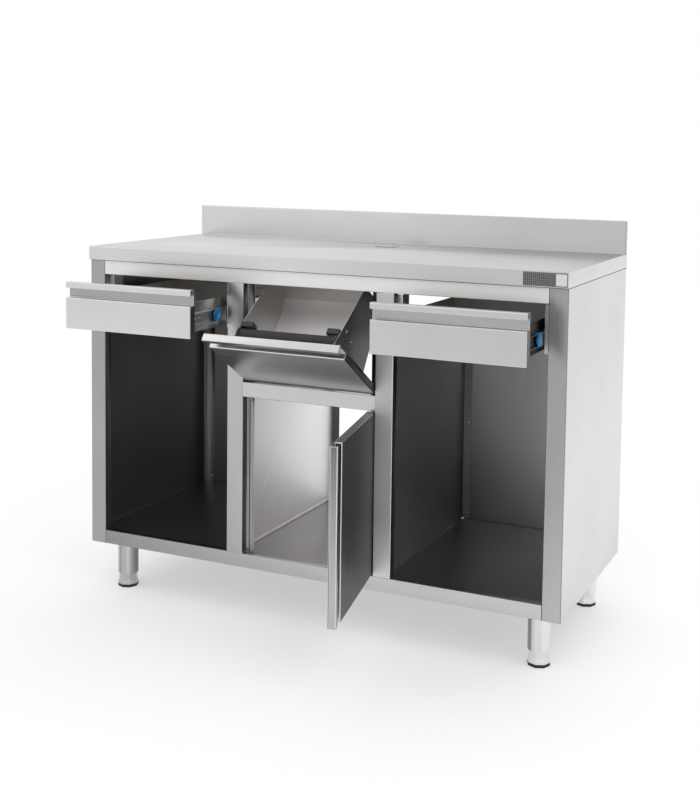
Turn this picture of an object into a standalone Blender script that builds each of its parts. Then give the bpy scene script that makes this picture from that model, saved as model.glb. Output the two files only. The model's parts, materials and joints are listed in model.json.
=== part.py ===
# Coffee station counter: stainless cupboard with two drawers, a tilting grounds hopper, a door and four legs.
# Metres, +Z up, front towards -Y. Carcass coordinates start at the middle of the front face's bottom edge:
# x to the right, y towards the back, z up.
from math import cos, pi, radians, sin

import bmesh
import bpy
from mathutils import Vector

# Sheet metal and clearances
SHEET = 0.0012
SEAT_GAP = 0.0003
FRONT_GAP = 0.003
ROD_CLEARANCE = 0.0003

# Carcass
CARCASS_WIDTH = 1.380
CARCASS_DEPTH = 0.590
CARCASS_HEIGHT = 0.810
LEG_HEIGHT = 0.140
POST_WIDTH = 0.048
POST_RETURN = 0.025
STOP_FLANGE = 0.022
SIDE_BAY_WIDTH = 0.400
TOP_RAIL_HEIGHT = 0.040
MID_RAIL_HEIGHT = 0.040
MID_RAIL_TOP = 0.506
BOTTOM_RAIL_HEIGHT = 0.038
BASE_DROP = 0.006
REAR_FLANGE = 0.040
REAR_POST_MARGIN = 0.0005
REAR_RAIL_DEPTH = 0.025
PANEL_MARGIN = 0.004

# Worktop
WORKTOP_THICKNESS = 0.038
WORKTOP_FRONT_OVERHANG = 0.009
WORKTOP_SIDE_OVERHANG = 0.001
WORKTOP_REAR_OVERHANG = 0.0022
UPSTAND_HEIGHT = 0.092
UPSTAND_THICKNESS = 0.020
GROMMET_X = 0.021
GROMMET_SETBACK = 0.121
GROMMET_HOLE_RADIUS = 0.030
GROMMET_WALL = 0.0025
GROMMET_RIM_WIDTH = 0.0035
GROMMET_RIM_HEIGHT = 0.003
PLATE_LENGTH = 0.110
PLATE_HEIGHT = 0.033
PLATE_THICKNESS = 0.0015
PLATE_END_MARGIN = 0.0015

# Fronts shared by the drawers, the hopper and the door
FRONT_THICKNESS = 0.020
LIP_HEIGHT = 0.016
LIP_THICKNESS = 0.003
RECESS_HEIGHT = 0.025
RECESS_DEPTH = 0.016
FRONT_RIM = 0.012

# Drawers
DRAWER_TOP_GAP = 0.005
DRAWER_FRONT_HEIGHT = 0.125
DRAWER_BOX_INSET = 0.028
DRAWER_BOX_LIFT = 0.010
DRAWER_BOX_HEIGHT = 0.078
DRAWER_REAR_CLEARANCE = 0.085
LEFT_DRAWER_PULL = 0.175
RIGHT_DRAWER_PULL = 0.153
SLIDE_WIDTH = 0.0127
SLIDE_HEIGHT = 0.036
SLIDE_CENTRE_LIFT = 0.044
SLIDE_START = 0.040
SLIDE_MIDDLE_SETBACK = 0.040
SLIDE_REAR_CLEARANCE = 0.100
SLIDE_NEST_GAP = 0.0004
SLIDE_WELD = 0.0005
CLIP_LENGTH = 0.033
CARRIER_SHEET = 0.0015
CARRIER_FRONT_LENGTH = 0.040
CARRIER_MARGIN = 0.006
CARRIER_FLANGE_MARGIN = 0.004

# Tilting hopper
HOPPER_TILT = 57.0
HOPPER_SIDE_INSET = 0.049
HOPPER_FLOOR_LIFT = 0.008
HOPPER_RIM_DROP = 0.008
HOPPER_RAIL_CLEARANCE = 0.0095
HOPPER_STOP_CLEARANCE = 0.001
HOPPER_STOP_RISE = 0.0142
HOPPER_STOP_LENGTH = 0.006
HOPPER_ROD_RADIUS = 0.004
HOPPER_ROD_REACH = 0.006
ROD_WALL = 0.002
KNOCK_BAR_SETBACK = 0.058
KNOCK_BAR_DROP = 0.016
KNOCK_BAR_RADIUS = 0.008
KNOCK_SLEEVE_RADIUS = 0.016
KNOCK_FLANGE_RADIUS = 0.020
KNOCK_FLANGE_THICKNESS = 0.005

# Door
DOOR_SWING = 102.0
DOOR_PIVOT_INSET = 0.0055
DOOR_PIVOT_DEPTH = 0.0046
DOOR_ROD_RADIUS = 0.0025
DOOR_ROD_REACH = 0.006
DOOR_BUSH_RADIUS = 0.0042
CATCH_LENGTH = 0.045
CATCH_DEPTH = 0.014
CATCH_HEIGHT = 0.0045
CATCH_EDGE_MARGIN = 0.060

# Legs
LEG_SIDE_INSET = 0.073
LEG_FRONT_INSET = 0.073
LEG_REAR_INSET = 0.068
LEG_RADIUS = 0.029
LEG_WALL = 0.002
LEG_FLANGE_RADIUS = 0.042
LEG_FLANGE_THICKNESS = 0.003
LEG_TUBE_CLEARANCE = 0.040
FOOT_FIT = 0.0004
FOOT_INSERT = 0.036
FOOT_NECK_APOTHEM = 0.0241
FOOT_NECK_HEIGHT = 0.022
FOOT_BASE_APOTHEM = 0.0268
PAD_HEIGHT = 0.008
PAD_LIP = 0.0005

ROUND_SEGMENTS = 32
SMALL_SEGMENTS = 24

# Colours, roughness and metallic of each look
STAINLESS = ((0.63, 0.63, 0.64), 0.28, 1.0)
ZINC_STEEL = ((0.66, 0.66, 0.64), 0.38, 1.0)
BOARD = ((0.45, 0.34, 0.22), 0.80, 0.0)
BLUE_PLASTIC = ((0.05, 0.22, 0.62), 0.40, 0.0)
BLACK_RUBBER = ((0.02, 0.02, 0.02), 0.75, 0.0)
BLACK_PLASTIC = ((0.03, 0.03, 0.03), 0.50, 0.0)
GREY_PLASTIC = ((0.36, 0.37, 0.38), 0.50, 0.0)
PLATE_METAL = ((0.75, 0.75, 0.75), 0.35, 1.0)

# Lines that several pieces share
HALF_WIDTH = CARCASS_WIDTH / 2
OUTER_POST_EDGE = HALF_WIDTH - POST_WIDTH
CENTRE_POST_OUTER = OUTER_POST_EDGE - SIDE_BAY_WIDTH
CENTRE_POST_INNER = CENTRE_POST_OUTER - POST_WIDTH
CENTRE_POST_MIDDLE = (CENTRE_POST_OUTER + CENTRE_POST_INNER) / 2
SIDE_BAY_CENTRE = (OUTER_POST_EDGE + CENTRE_POST_OUTER) / 2
RAIL_DEPTH = POST_RETURN - SEAT_GAP
TOP_RAIL_BOTTOM = CARCASS_HEIGHT - TOP_RAIL_HEIGHT
MID_RAIL_BOTTOM = MID_RAIL_TOP - MID_RAIL_HEIGHT
BASE_TOP = BOTTOM_RAIL_HEIGHT - BASE_DROP
INSIDE_BACK = CARCASS_DEPTH - SHEET - SEAT_GAP
WORKTOP_TOP = CARCASS_HEIGHT + WORKTOP_THICKNESS
WORKTOP_REAR = CARCASS_DEPTH + WORKTOP_REAR_OVERHANG
UPSTAND_FRONT = WORKTOP_REAR - UPSTAND_THICKNESS

DRAWER_FRONT_WIDTH = SIDE_BAY_WIDTH - 2 * FRONT_GAP
DRAWER_FRONT_TOP = TOP_RAIL_BOTTOM - DRAWER_TOP_GAP
DRAWER_FRONT_BOTTOM = DRAWER_FRONT_TOP - DRAWER_FRONT_HEIGHT
DRAWER_BOX_HALF = SIDE_BAY_WIDTH / 2 - DRAWER_BOX_INSET
DRAWER_BOX_BACK = CARCASS_DEPTH - DRAWER_REAR_CLEARANCE
SLIDE_CENTRE = DRAWER_FRONT_BOTTOM + SLIDE_CENTRE_LIFT
SLIDE_END = CARCASS_DEPTH - SLIDE_REAR_CLEARANCE
SLIDE_STEP = SHEET + SLIDE_NEST_GAP
CARRIER_FACE = DRAWER_BOX_HALF + SLIDE_WIDTH + SEAT_GAP
CARRIER_FRONT = FRONT_THICKNESS + 5 * SEAT_GAP
PARTITION_TOP = DRAWER_FRONT_BOTTOM - FRONT_GAP

HOPPER_PIVOT_INSET = 2 * FRONT_GAP
HOPPER_PIVOT_HEIGHT = MID_RAIL_TOP + FRONT_GAP + HOPPER_PIVOT_INSET
HOPPER_FRONT_HALF = CENTRE_POST_INNER - FRONT_GAP
HOPPER_FRONT_HEIGHT = TOP_RAIL_BOTTOM - MID_RAIL_TOP - 2 * FRONT_GAP
HOPPER_SIDE_FACE = HOPPER_FRONT_HALF - HOPPER_SIDE_INSET
HOPPER_FRONT_RIM = HOPPER_FRONT_HEIGHT - LIP_HEIGHT - RECESS_HEIGHT - HOPPER_RIM_DROP

DOOR_WIDTH = 2 * (CENTRE_POST_INNER - FRONT_GAP)
DOOR_HEIGHT = MID_RAIL_BOTTOM - BOTTOM_RAIL_HEIGHT - 2 * FRONT_GAP
DOOR_PIVOT_X = DOOR_WIDTH / 2 - DOOR_PIVOT_INSET
DOOR_BOTTOM = BOTTOM_RAIL_HEIGHT + FRONT_GAP


def sheet_outline(path, thickness):
    """Closed outline of a folded sheet: the path and its copy moved to the left by the thickness."""
    points = [Vector(point) for point in path]
    normals = []
    for start, end in zip(points, points[1:]):
        along = (end - start).normalized()
        normals.append(Vector((-along.y, along.x)))
    moved = []
    for index, point in enumerate(points):
        before = normals[max(index - 1, 0)]
        after = normals[min(index, len(normals) - 1)]
        moved.append(point + (before + after) * (thickness / (1 + before.dot(after))))
    return [tuple(point) for point in points] + [tuple(point) for point in reversed(moved)]


def mirrored(outline, side):
    """Outline with its first coordinate flipped for the left side."""
    return [(side * first, second) for first, second in outline]


def spot(axis, along, first, second):
    """Point of an outline placed at a distance along an axis."""
    if axis == "x":
        return (along, first, second)
    if axis == "y":
        return (first, along, second)
    return (first, second, along)


def add_rings(mesh, rings):
    """Solid skinned over rings of the same number of points, closed at both ends."""
    loops = [[mesh.verts.new(point) for point in ring] for ring in rings]
    for lower, upper in zip(loops, loops[1:]):
        for index in range(len(lower)):
            after = (index + 1) % len(lower)
            mesh.faces.new((lower[index], lower[after], upper[after], upper[index]))
    mesh.faces.new(list(reversed(loops[0])))
    mesh.faces.new(loops[-1])


def add_prism(mesh, outline, axis, low, high):
    """Solid with a flat outline carried along an axis."""
    add_rings(mesh, [[spot(axis, along, *point) for point in outline] for along in (low, high)])


def add_box(mesh, low, high):
    """Block between two corners."""
    outline = [(low[0], low[1]), (high[0], low[1]), (high[0], high[1]), (low[0], high[1])]
    add_prism(mesh, outline, "z", low[2], high[2])


def circle(radius, count, centre=(0.0, 0.0)):
    """Points of a circle."""
    turns = [2 * pi * (index + 0.5) / count for index in range(count)]
    return [(centre[0] + radius * cos(turn), centre[1] + radius * sin(turn)) for turn in turns]


def add_cylinder(mesh, axis, radius, low, high, centre, count):
    """Round bar along an axis."""
    add_prism(mesh, circle(radius, count, centre), axis, low, high)


def add_tube(mesh, profile, axis, centre, count):
    """Ring around an axis: a closed outline of radius and distance along the axis, carried round it."""
    loops = []
    for index in range(count):
        turn = 2 * pi * (index + 0.5) / count
        loop = []
        for radius, along in profile:
            first = centre[0] + radius * cos(turn)
            second = centre[1] + radius * sin(turn)
            loop.append(mesh.verts.new(spot(axis, along, first, second)))
        loops.append(loop)
    for index, loop in enumerate(loops):
        other = loops[(index + 1) % count]
        for step in range(len(profile)):
            after = (step + 1) % len(profile)
            mesh.faces.new((loop[step], other[step], other[after], loop[after]))


def octagon_reach(turn, apothem):
    """Distance from the middle of an octagon to its edge in one direction."""
    return apothem / cos((turn % (pi / 4)) - pi / 8)


def look_material(name, look):
    """Principled material with the colour, roughness and metallic of a look."""
    colour, roughness, metallic = look
    material = bpy.data.materials.new(name)
    material.use_nodes = True
    shader = material.node_tree.nodes["Principled BSDF"]
    shader.inputs["Base Color"].default_value = (*colour, 1.0)
    shader.inputs["Roughness"].default_value = roughness
    shader.inputs["Metallic"].default_value = metallic
    material.diffuse_color = (*colour, 1.0)
    return material


def add_holder(name, parent, location, turn=(0.0, 0.0, 0.0)):
    """Empty that carries a body and stands on its joint axis."""
    holder = bpy.data.objects.new(name, None)
    holder.empty_display_size = 0.05
    bpy.context.scene.collection.objects.link(holder)
    holder.parent = parent
    holder.location = location
    holder.rotation_euler = turn
    return holder


def add_piece(name, mesh, parent, look=None, smooth=False):
    """Object from a built mesh. Without a look it is a hidden cutter."""
    bmesh.ops.recalc_face_normals(mesh, faces=mesh.faces)
    data = bpy.data.meshes.new(name)
    mesh.to_mesh(data)
    mesh.free()
    if smooth:
        for polygon in data.polygons:
            polygon.use_smooth = True
        data.set_sharp_from_angle(angle=radians(35))
    piece = bpy.data.objects.new(name, data)
    bpy.context.scene.collection.objects.link(piece)
    piece.parent = parent
    if look is None:
        piece.hide_render = True
        piece.display_type = "WIRE"
    else:
        data.materials.append(look_material(name, look))
    return piece


def combine(piece, other, operation):
    """Boolean of a piece with a hidden solid."""
    step = piece.modifiers.new(other.name, "BOOLEAN")
    step.operation = operation
    step.solver = "EXACT"
    step.object = other


def cut(piece, cutter):
    """Take the cutter's solid out of a piece."""
    combine(piece, cutter, "DIFFERENCE")


def grip_outline(height, thickness):
    """Section of a front: plain panel, finger recess and lip. First coordinate up the front, second its depth."""
    panel_top = height - LIP_HEIGHT - RECESS_HEIGHT
    return [
        (0.0, 0.0),
        (panel_top, 0.0),
        (panel_top, RECESS_DEPTH),
        (height - LIP_THICKNESS, RECESS_DEPTH),
        (height - LIP_THICKNESS, LIP_THICKNESS),
        (height - LIP_HEIGHT, LIP_THICKNESS),
        (height - LIP_HEIGHT, 0.0),
        (height, 0.0),
        (height, thickness),
        (0.0, thickness),
    ]


def add_front(name, parent, half_width, height, side_rim, bottom_rim):
    """Grip front lying on y = 0 with its bottom edge on z = 0, hollow behind the panel."""
    mesh = bmesh.new()
    outline = [(depth, up) for up, depth in grip_outline(height, FRONT_THICKNESS)]
    add_prism(mesh, outline, "x", -half_width, half_width)
    front = add_piece(name, mesh, parent, STAINLESS)
    mesh = bmesh.new()
    panel_top = height - LIP_HEIGHT - RECESS_HEIGHT
    low = (-half_width + side_rim, SHEET, bottom_rim)
    high = (half_width - side_rim, FRONT_THICKNESS + 0.01, panel_top - FRONT_RIM)
    add_box(mesh, low, high)
    cut(front, add_piece(name + "_hollow_cutter", mesh, parent))
    return front


def make_worktop(carcass):
    half = HALF_WIDTH + WORKTOP_SIDE_OVERHANG
    front = -WORKTOP_FRONT_OVERHANG
    upstand_top = WORKTOP_TOP + UPSTAND_HEIGHT
    hole = (GROMMET_X, UPSTAND_FRONT - GROMMET_SETBACK)

    mesh = bmesh.new()
    outline = [
        (front, CARCASS_HEIGHT),
        (front, WORKTOP_TOP),
        (UPSTAND_FRONT, WORKTOP_TOP),
        (UPSTAND_FRONT, upstand_top),
        (WORKTOP_REAR, upstand_top),
        (WORKTOP_REAR, CARCASS_HEIGHT),
    ]
    add_prism(mesh, outline, "x", -half, half)
    worktop = add_piece("worktop", mesh, carcass, STAINLESS)

    mesh = bmesh.new()
    below = CARCASS_HEIGHT - 0.01
    outline = [
        (front + SHEET, below),
        (front + SHEET, WORKTOP_TOP - SHEET),
        (UPSTAND_FRONT + SHEET, WORKTOP_TOP - SHEET),
        (UPSTAND_FRONT + SHEET, upstand_top - SHEET),
        (WORKTOP_REAR - SHEET, upstand_top - SHEET),
        (WORKTOP_REAR - SHEET, below),
    ]
    add_prism(mesh, outline, "x", -half + SHEET, half - SHEET)
    cut(worktop, add_piece("worktop_hollow_cutter", mesh, carcass))

    mesh = bmesh.new()
    low = (-half + SHEET + SEAT_GAP, front + SHEET + SEAT_GAP, CARCASS_HEIGHT)
    high = (half - SHEET - SEAT_GAP, WORKTOP_REAR - SHEET - SEAT_GAP, WORKTOP_TOP - SHEET - SEAT_GAP)
    add_box(mesh, low, high)
    core = add_piece("worktop_core", mesh, carcass, BOARD)

    mesh = bmesh.new()
    add_cylinder(mesh, "z", GROMMET_HOLE_RADIUS, below, WORKTOP_TOP + 0.01, hole, ROUND_SEGMENTS)
    hole_cutter = add_piece("grommet_hole_cutter", mesh, carcass)
    cut(worktop, hole_cutter)
    cut(core, hole_cutter)

    mesh = bmesh.new()
    outer = GROMMET_HOLE_RADIUS - SEAT_GAP
    bore = outer - GROMMET_WALL
    rim = GROMMET_HOLE_RADIUS + GROMMET_RIM_WIDTH
    rim_top = WORKTOP_TOP + GROMMET_RIM_HEIGHT
    profile = [
        (bore, CARCASS_HEIGHT),
        (outer, CARCASS_HEIGHT),
        (outer, WORKTOP_TOP + SEAT_GAP),
        (rim, WORKTOP_TOP + SEAT_GAP),
        (rim, WORKTOP_TOP + GROMMET_RIM_HEIGHT / 2),
        (rim - GROMMET_RIM_HEIGHT / 2, rim_top),
        (bore, rim_top),
    ]
    add_tube(mesh, profile, "z", hole, ROUND_SEGMENTS)
    add_piece("cable_grommet", mesh, carcass, GREY_PLASTIC, smooth=True)

    mesh = bmesh.new()
    right = half - PLATE_END_MARGIN
    middle = CARCASS_HEIGHT + WORKTOP_THICKNESS / 2
    low = (right - PLATE_LENGTH, front - SEAT_GAP - PLATE_THICKNESS, middle - PLATE_HEIGHT / 2)
    add_box(mesh, low, (right, front - SEAT_GAP, middle + PLATE_HEIGHT / 2))
    add_piece("blank_plate", mesh, carcass, PLATE_METAL)


def make_side_panel(carcass, name, side):
    path = [
        (OUTER_POST_EDGE, POST_RETURN),
        (OUTER_POST_EDGE, 0.0),
        (HALF_WIDTH, 0.0),
        (HALF_WIDTH, CARCASS_DEPTH),
        (HALF_WIDTH - REAR_FLANGE, CARCASS_DEPTH),
    ]
    mesh = bmesh.new()
    add_prism(mesh, mirrored(sheet_outline(path, SHEET), side), "z", 0.0, CARCASS_HEIGHT - SEAT_GAP)
    add_piece("side_panel_" + name, mesh, carcass, STAINLESS)


def make_centre_post(carcass, name, side):
    path = [
        (CENTRE_POST_INNER - STOP_FLANGE, POST_RETURN),
        (CENTRE_POST_INNER, POST_RETURN),
        (CENTRE_POST_INNER, 0.0),
        (CENTRE_POST_OUTER, 0.0),
        (CENTRE_POST_OUTER, POST_RETURN),
    ]
    mesh = bmesh.new()
    outline = mirrored(sheet_outline(path, SHEET), side)
    add_prism(mesh, outline, "z", BOTTOM_RAIL_HEIGHT + SEAT_GAP, TOP_RAIL_BOTTOM - SEAT_GAP)
    post = add_piece("centre_post_" + name, mesh, carcass, STAINLESS)

    mesh = bmesh.new()
    ends = sorted((side * (CENTRE_POST_INNER - 0.004), side * (CENTRE_POST_INNER + 0.010)))
    centre = (HOPPER_PIVOT_INSET, HOPPER_PIVOT_HEIGHT)
    add_cylinder(mesh, "x", HOPPER_ROD_RADIUS + ROD_CLEARANCE, *ends, centre, SMALL_SEGMENTS)
    cut(post, add_piece("rod_hole_cutter_" + name, mesh, carcass))


def rail_outline(bottom, top):
    """Section of a front rail: face and two flanges. First coordinate is depth, second is height."""
    return sheet_outline([(RAIL_DEPTH, top), (0.0, top), (0.0, bottom), (RAIL_DEPTH, bottom)], SHEET)


def make_rails(carcass):
    long_half = OUTER_POST_EDGE - SEAT_GAP
    short_half = CENTRE_POST_INNER - SEAT_GAP
    mesh = bmesh.new()
    add_prism(mesh, rail_outline(TOP_RAIL_BOTTOM, CARCASS_HEIGHT - SEAT_GAP), "x", -long_half, long_half)
    add_piece("top_front_rail", mesh, carcass, STAINLESS)

    mesh = bmesh.new()
    add_prism(mesh, rail_outline(MID_RAIL_BOTTOM, MID_RAIL_TOP), "x", -short_half, short_half)
    mid_rail = add_piece("mid_rail", mesh, carcass, STAINLESS)

    mesh = bmesh.new()
    add_prism(mesh, rail_outline(0.0, BOTTOM_RAIL_HEIGHT), "x", -long_half, long_half)
    bottom_rail = add_piece("bottom_front_rail", mesh, carcass, STAINLESS)

    centre = (DOOR_PIVOT_X, DOOR_PIVOT_DEPTH)
    radius = DOOR_ROD_RADIUS + ROD_CLEARANCE
    mesh = bmesh.new()
    add_cylinder(mesh, "z", radius, MID_RAIL_BOTTOM - 0.01, MID_RAIL_BOTTOM + 0.01, centre, SMALL_SEGMENTS)
    cut(mid_rail, add_piece("upper_door_rod_cutter", mesh, carcass))
    mesh = bmesh.new()
    low = BOTTOM_RAIL_HEIGHT - 0.01
    add_cylinder(mesh, "z", radius, low, BOTTOM_RAIL_HEIGHT + 0.01, centre, SMALL_SEGMENTS)
    cut(bottom_rail, add_piece("lower_door_rod_cutter", mesh, carcass))

    mesh = bmesh.new()
    half = HALF_WIDTH - SHEET - SEAT_GAP
    front = INSIDE_BACK - REAR_RAIL_DEPTH
    top = CARCASS_HEIGHT - SEAT_GAP
    path = [(front, TOP_RAIL_BOTTOM), (INSIDE_BACK, TOP_RAIL_BOTTOM), (INSIDE_BACK, top), (front, top)]
    add_prism(mesh, sheet_outline(path, SHEET), "x", -half, half)
    add_piece("rear_top_rail", mesh, carcass, STAINLESS)


def make_base(carcass):
    front = POST_RETURN + SEAT_GAP
    path = [(INSIDE_BACK, 0.0), (INSIDE_BACK, BASE_TOP), (front, BASE_TOP), (front, 0.0)]
    half = HALF_WIDTH - SHEET - SEAT_GAP
    mesh = bmesh.new()
    add_prism(mesh, sheet_outline(path, SHEET), "x", -half, half)
    add_piece("base_panel", mesh, carcass, STAINLESS)


def make_rear(carcass, name, side):
    mesh = bmesh.new()
    back = CARCASS_DEPTH + SEAT_GAP
    edges = sorted((side * (CENTRE_POST_MIDDLE + PANEL_MARGIN), side * (HALF_WIDTH - PANEL_MARGIN)))
    add_box(mesh, (edges[0], back, PANEL_MARGIN), (edges[1], back + SHEET, CARCASS_HEIGHT - SEAT_GAP))
    add_piece("back_panel_" + name, mesh, carcass, STAINLESS)

    # The partition's sheet ends at the back in a flange that stands on as a rear post up to the rear rail.
    mesh = bmesh.new()
    middle = side * CENTRE_POST_MIDDLE
    half = POST_WIDTH / 2 - REAR_POST_MARGIN
    wall = SHEET / 2
    face = SHEET + SEAT_GAP
    flange = CARCASS_DEPTH - SHEET
    outline = [
        (middle - wall, face),
        (middle + wall, face),
        (middle + wall, flange),
        (middle + half, flange),
        (middle + half, CARCASS_DEPTH),
        (middle - half, CARCASS_DEPTH),
        (middle - half, flange),
        (middle - wall, flange),
    ]
    add_prism(mesh, outline, "z", BASE_TOP + SEAT_GAP, TOP_RAIL_BOTTOM - SEAT_GAP)
    partition = add_piece("partition_" + name, mesh, carcass, STAINLESS)

    mesh = bmesh.new()
    edges = (middle - 0.01, middle + 0.01)
    add_box(mesh, (edges[0], -0.01, PARTITION_TOP), (edges[1], flange, CARCASS_HEIGHT))
    behind_rail = POST_RETURN + SEAT_GAP
    add_box(mesh, (edges[0], -0.01, 0.0), (edges[1], behind_rail, BOTTOM_RAIL_HEIGHT + SEAT_GAP))
    cut(partition, add_piece("partition_cutter_" + name, mesh, carcass))


def carrier_outline(side):
    """Section of a slide carrier in plan: front flange, web and rear flange. Distances from the drawer's middle."""
    outer = SIDE_BAY_WIDTH / 2 - SEAT_GAP
    back = CARCASS_DEPTH
    path = [(outer, back), (CARRIER_FACE, back), (CARRIER_FACE, CARRIER_FRONT), (outer, CARRIER_FRONT)]
    return mirrored(sheet_outline(path, CARRIER_SHEET), side)


def make_carrier(carcass, drawer, name, bay_side, side):
    middle = bay_side * SIDE_BAY_CENTRE
    outline = [(middle + first, second) for first, second in carrier_outline(side)]
    mesh = bmesh.new()
    low = DRAWER_FRONT_BOTTOM + CARRIER_MARGIN
    high = TOP_RAIL_BOTTOM - CARRIER_FLANGE_MARGIN
    add_prism(mesh, outline, "z", low, high)
    carrier = add_piece(drawer + "_carrier_" + name, mesh, carcass, ZINC_STEEL)
    mesh = bmesh.new()
    edges = sorted((middle + side * (CARRIER_FACE - 0.01), middle + side * (SIDE_BAY_WIDTH / 2 + 0.01)))
    front = CARRIER_FRONT + CARRIER_FRONT_LENGTH
    back = CARCASS_DEPTH + 0.01
    half = SLIDE_HEIGHT / 2 + CARRIER_MARGIN
    add_box(mesh, (edges[0], front, SLIDE_CENTRE + half), (edges[1], back, high + 0.01))
    add_box(mesh, (edges[0], front, low - 0.01), (edges[1], back, SLIDE_CENTRE - half))
    cut(carrier, add_piece(drawer + "_carrier_cutter_" + name, mesh, carcass))

    # The slide's outer member is welded to the carrier's web.
    mesh = bmesh.new()
    outer = channel(-SLIDE_WELD, SLIDE_WIDTH - 2 * SLIDE_STEP, SLIDE_HEIGHT / 2, SHEET)
    add_prism(mesh, placed_channel(outer, middle, side), "y", SLIDE_START, SLIDE_END)
    combine(carrier, add_piece(drawer + "_outer_member_" + name, mesh, carcass), "UNION")


def channel(web, open_edge, half_height, thickness):
    """Section of a slide member: web and two flanges. First coordinate across the slide, second is height."""
    path = [(open_edge, half_height), (web, half_height), (web, -half_height), (open_edge, -half_height)]
    if open_edge > web:
        return sheet_outline(path, thickness)
    return sheet_outline(path, -thickness)


def placed_channel(outline, middle, side):
    """Slide section moved to one side of a drawer. The outline starts at the carrier's face."""
    return [(middle + side * (CARRIER_FACE - across), SLIDE_CENTRE + up) for across, up in outline]


def make_drawer(carcass, drawer, bay_side, pull):
    middle = bay_side * SIDE_BAY_CENTRE
    middle_holder = add_holder(drawer + "_middle_slide", carcass, (middle, -pull / 2, 0.0))
    holder = add_holder(drawer + "_slide", carcass, (middle, -pull, 0.0))

    half = SLIDE_HEIGHT / 2
    nested = channel(SLIDE_STEP, SLIDE_WIDTH - SLIDE_STEP, half - SLIDE_STEP, SHEET)
    inner = channel(SLIDE_WIDTH, 3 * SLIDE_STEP, half - 2 * SLIDE_STEP, SHEET)
    middle_start = SLIDE_START + SLIDE_MIDDLE_SETBACK
    clip_end = middle_start - SEAT_GAP
    members = [
        ("_slide_middle_", middle_holder, nested, middle_start, SLIDE_END, ZINC_STEEL),
        ("_slide_inner_", holder, inner, SLIDE_START, SLIDE_END, ZINC_STEEL),
        ("_slide_clip_", middle_holder, nested, clip_end - CLIP_LENGTH, clip_end, BLUE_PLASTIC),
    ]
    for kind, parent, outline, low, high, look in members:
        for name, side in (("left", -1), ("right", 1)):
            mesh = bmesh.new()
            add_prism(mesh, placed_channel(outline, 0.0, side), "y", low, high)
            add_piece(drawer + kind + name, mesh, parent, look)

    front_holder = add_holder(drawer + "_front_holder", holder, (0.0, 0.0, DRAWER_FRONT_BOTTOM))
    side_rim = DRAWER_BOX_INSET + FRONT_RIM
    half_width = DRAWER_FRONT_WIDTH / 2
    add_front(drawer + "_front", front_holder, half_width, DRAWER_FRONT_HEIGHT, side_rim, 2 * FRONT_RIM)

    mesh = bmesh.new()
    bottom = DRAWER_FRONT_BOTTOM + DRAWER_BOX_LIFT
    front = FRONT_THICKNESS + SEAT_GAP
    top = bottom + DRAWER_BOX_HEIGHT
    add_box(mesh, (-DRAWER_BOX_HALF, front, bottom), (DRAWER_BOX_HALF, DRAWER_BOX_BACK, top))
    box = add_piece(drawer + "_box", mesh, holder, STAINLESS)
    mesh = bmesh.new()
    inside = DRAWER_BOX_HALF - SHEET
    add_box(mesh, (-inside, front + SHEET, bottom + SHEET), (inside, DRAWER_BOX_BACK - SHEET, top + 0.02))
    cut(box, add_piece(drawer + "_box_cutter", mesh, holder))


def shut_spot(back, height):
    """Depth and height in the shut hopper of a point that the open hopper holds in carcass coordinates."""
    tilt = radians(HOPPER_TILT)
    inset = HOPPER_PIVOT_INSET
    across = back - inset
    up = height - HOPPER_PIVOT_HEIGHT
    return (inset + across * cos(tilt) + up * sin(tilt), inset + up * cos(tilt) - across * sin(tilt))


def hopper_rim():
    """Height of the sloped rim at a depth of the shut hopper, and the depth and height of its stop edge.

    The rim passes under the top rail's back edge, and the raised back wall comes to rest behind that rail.
    """
    rail_depth, rail_height = shut_spot(POST_RETURN, TOP_RAIL_BOTTOM)
    slope = (rail_height - HOPPER_RAIL_CLEARANCE - HOPPER_FRONT_RIM) / (rail_depth - FRONT_THICKNESS)

    def rim_height(depth):
        return HOPPER_FRONT_RIM + slope * (depth - FRONT_THICKNESS)

    stop_front, stop_height = shut_spot(POST_RETURN + HOPPER_STOP_CLEARANCE, TOP_RAIL_BOTTOM + HOPPER_STOP_RISE)
    return rim_height, stop_front, stop_height


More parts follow.
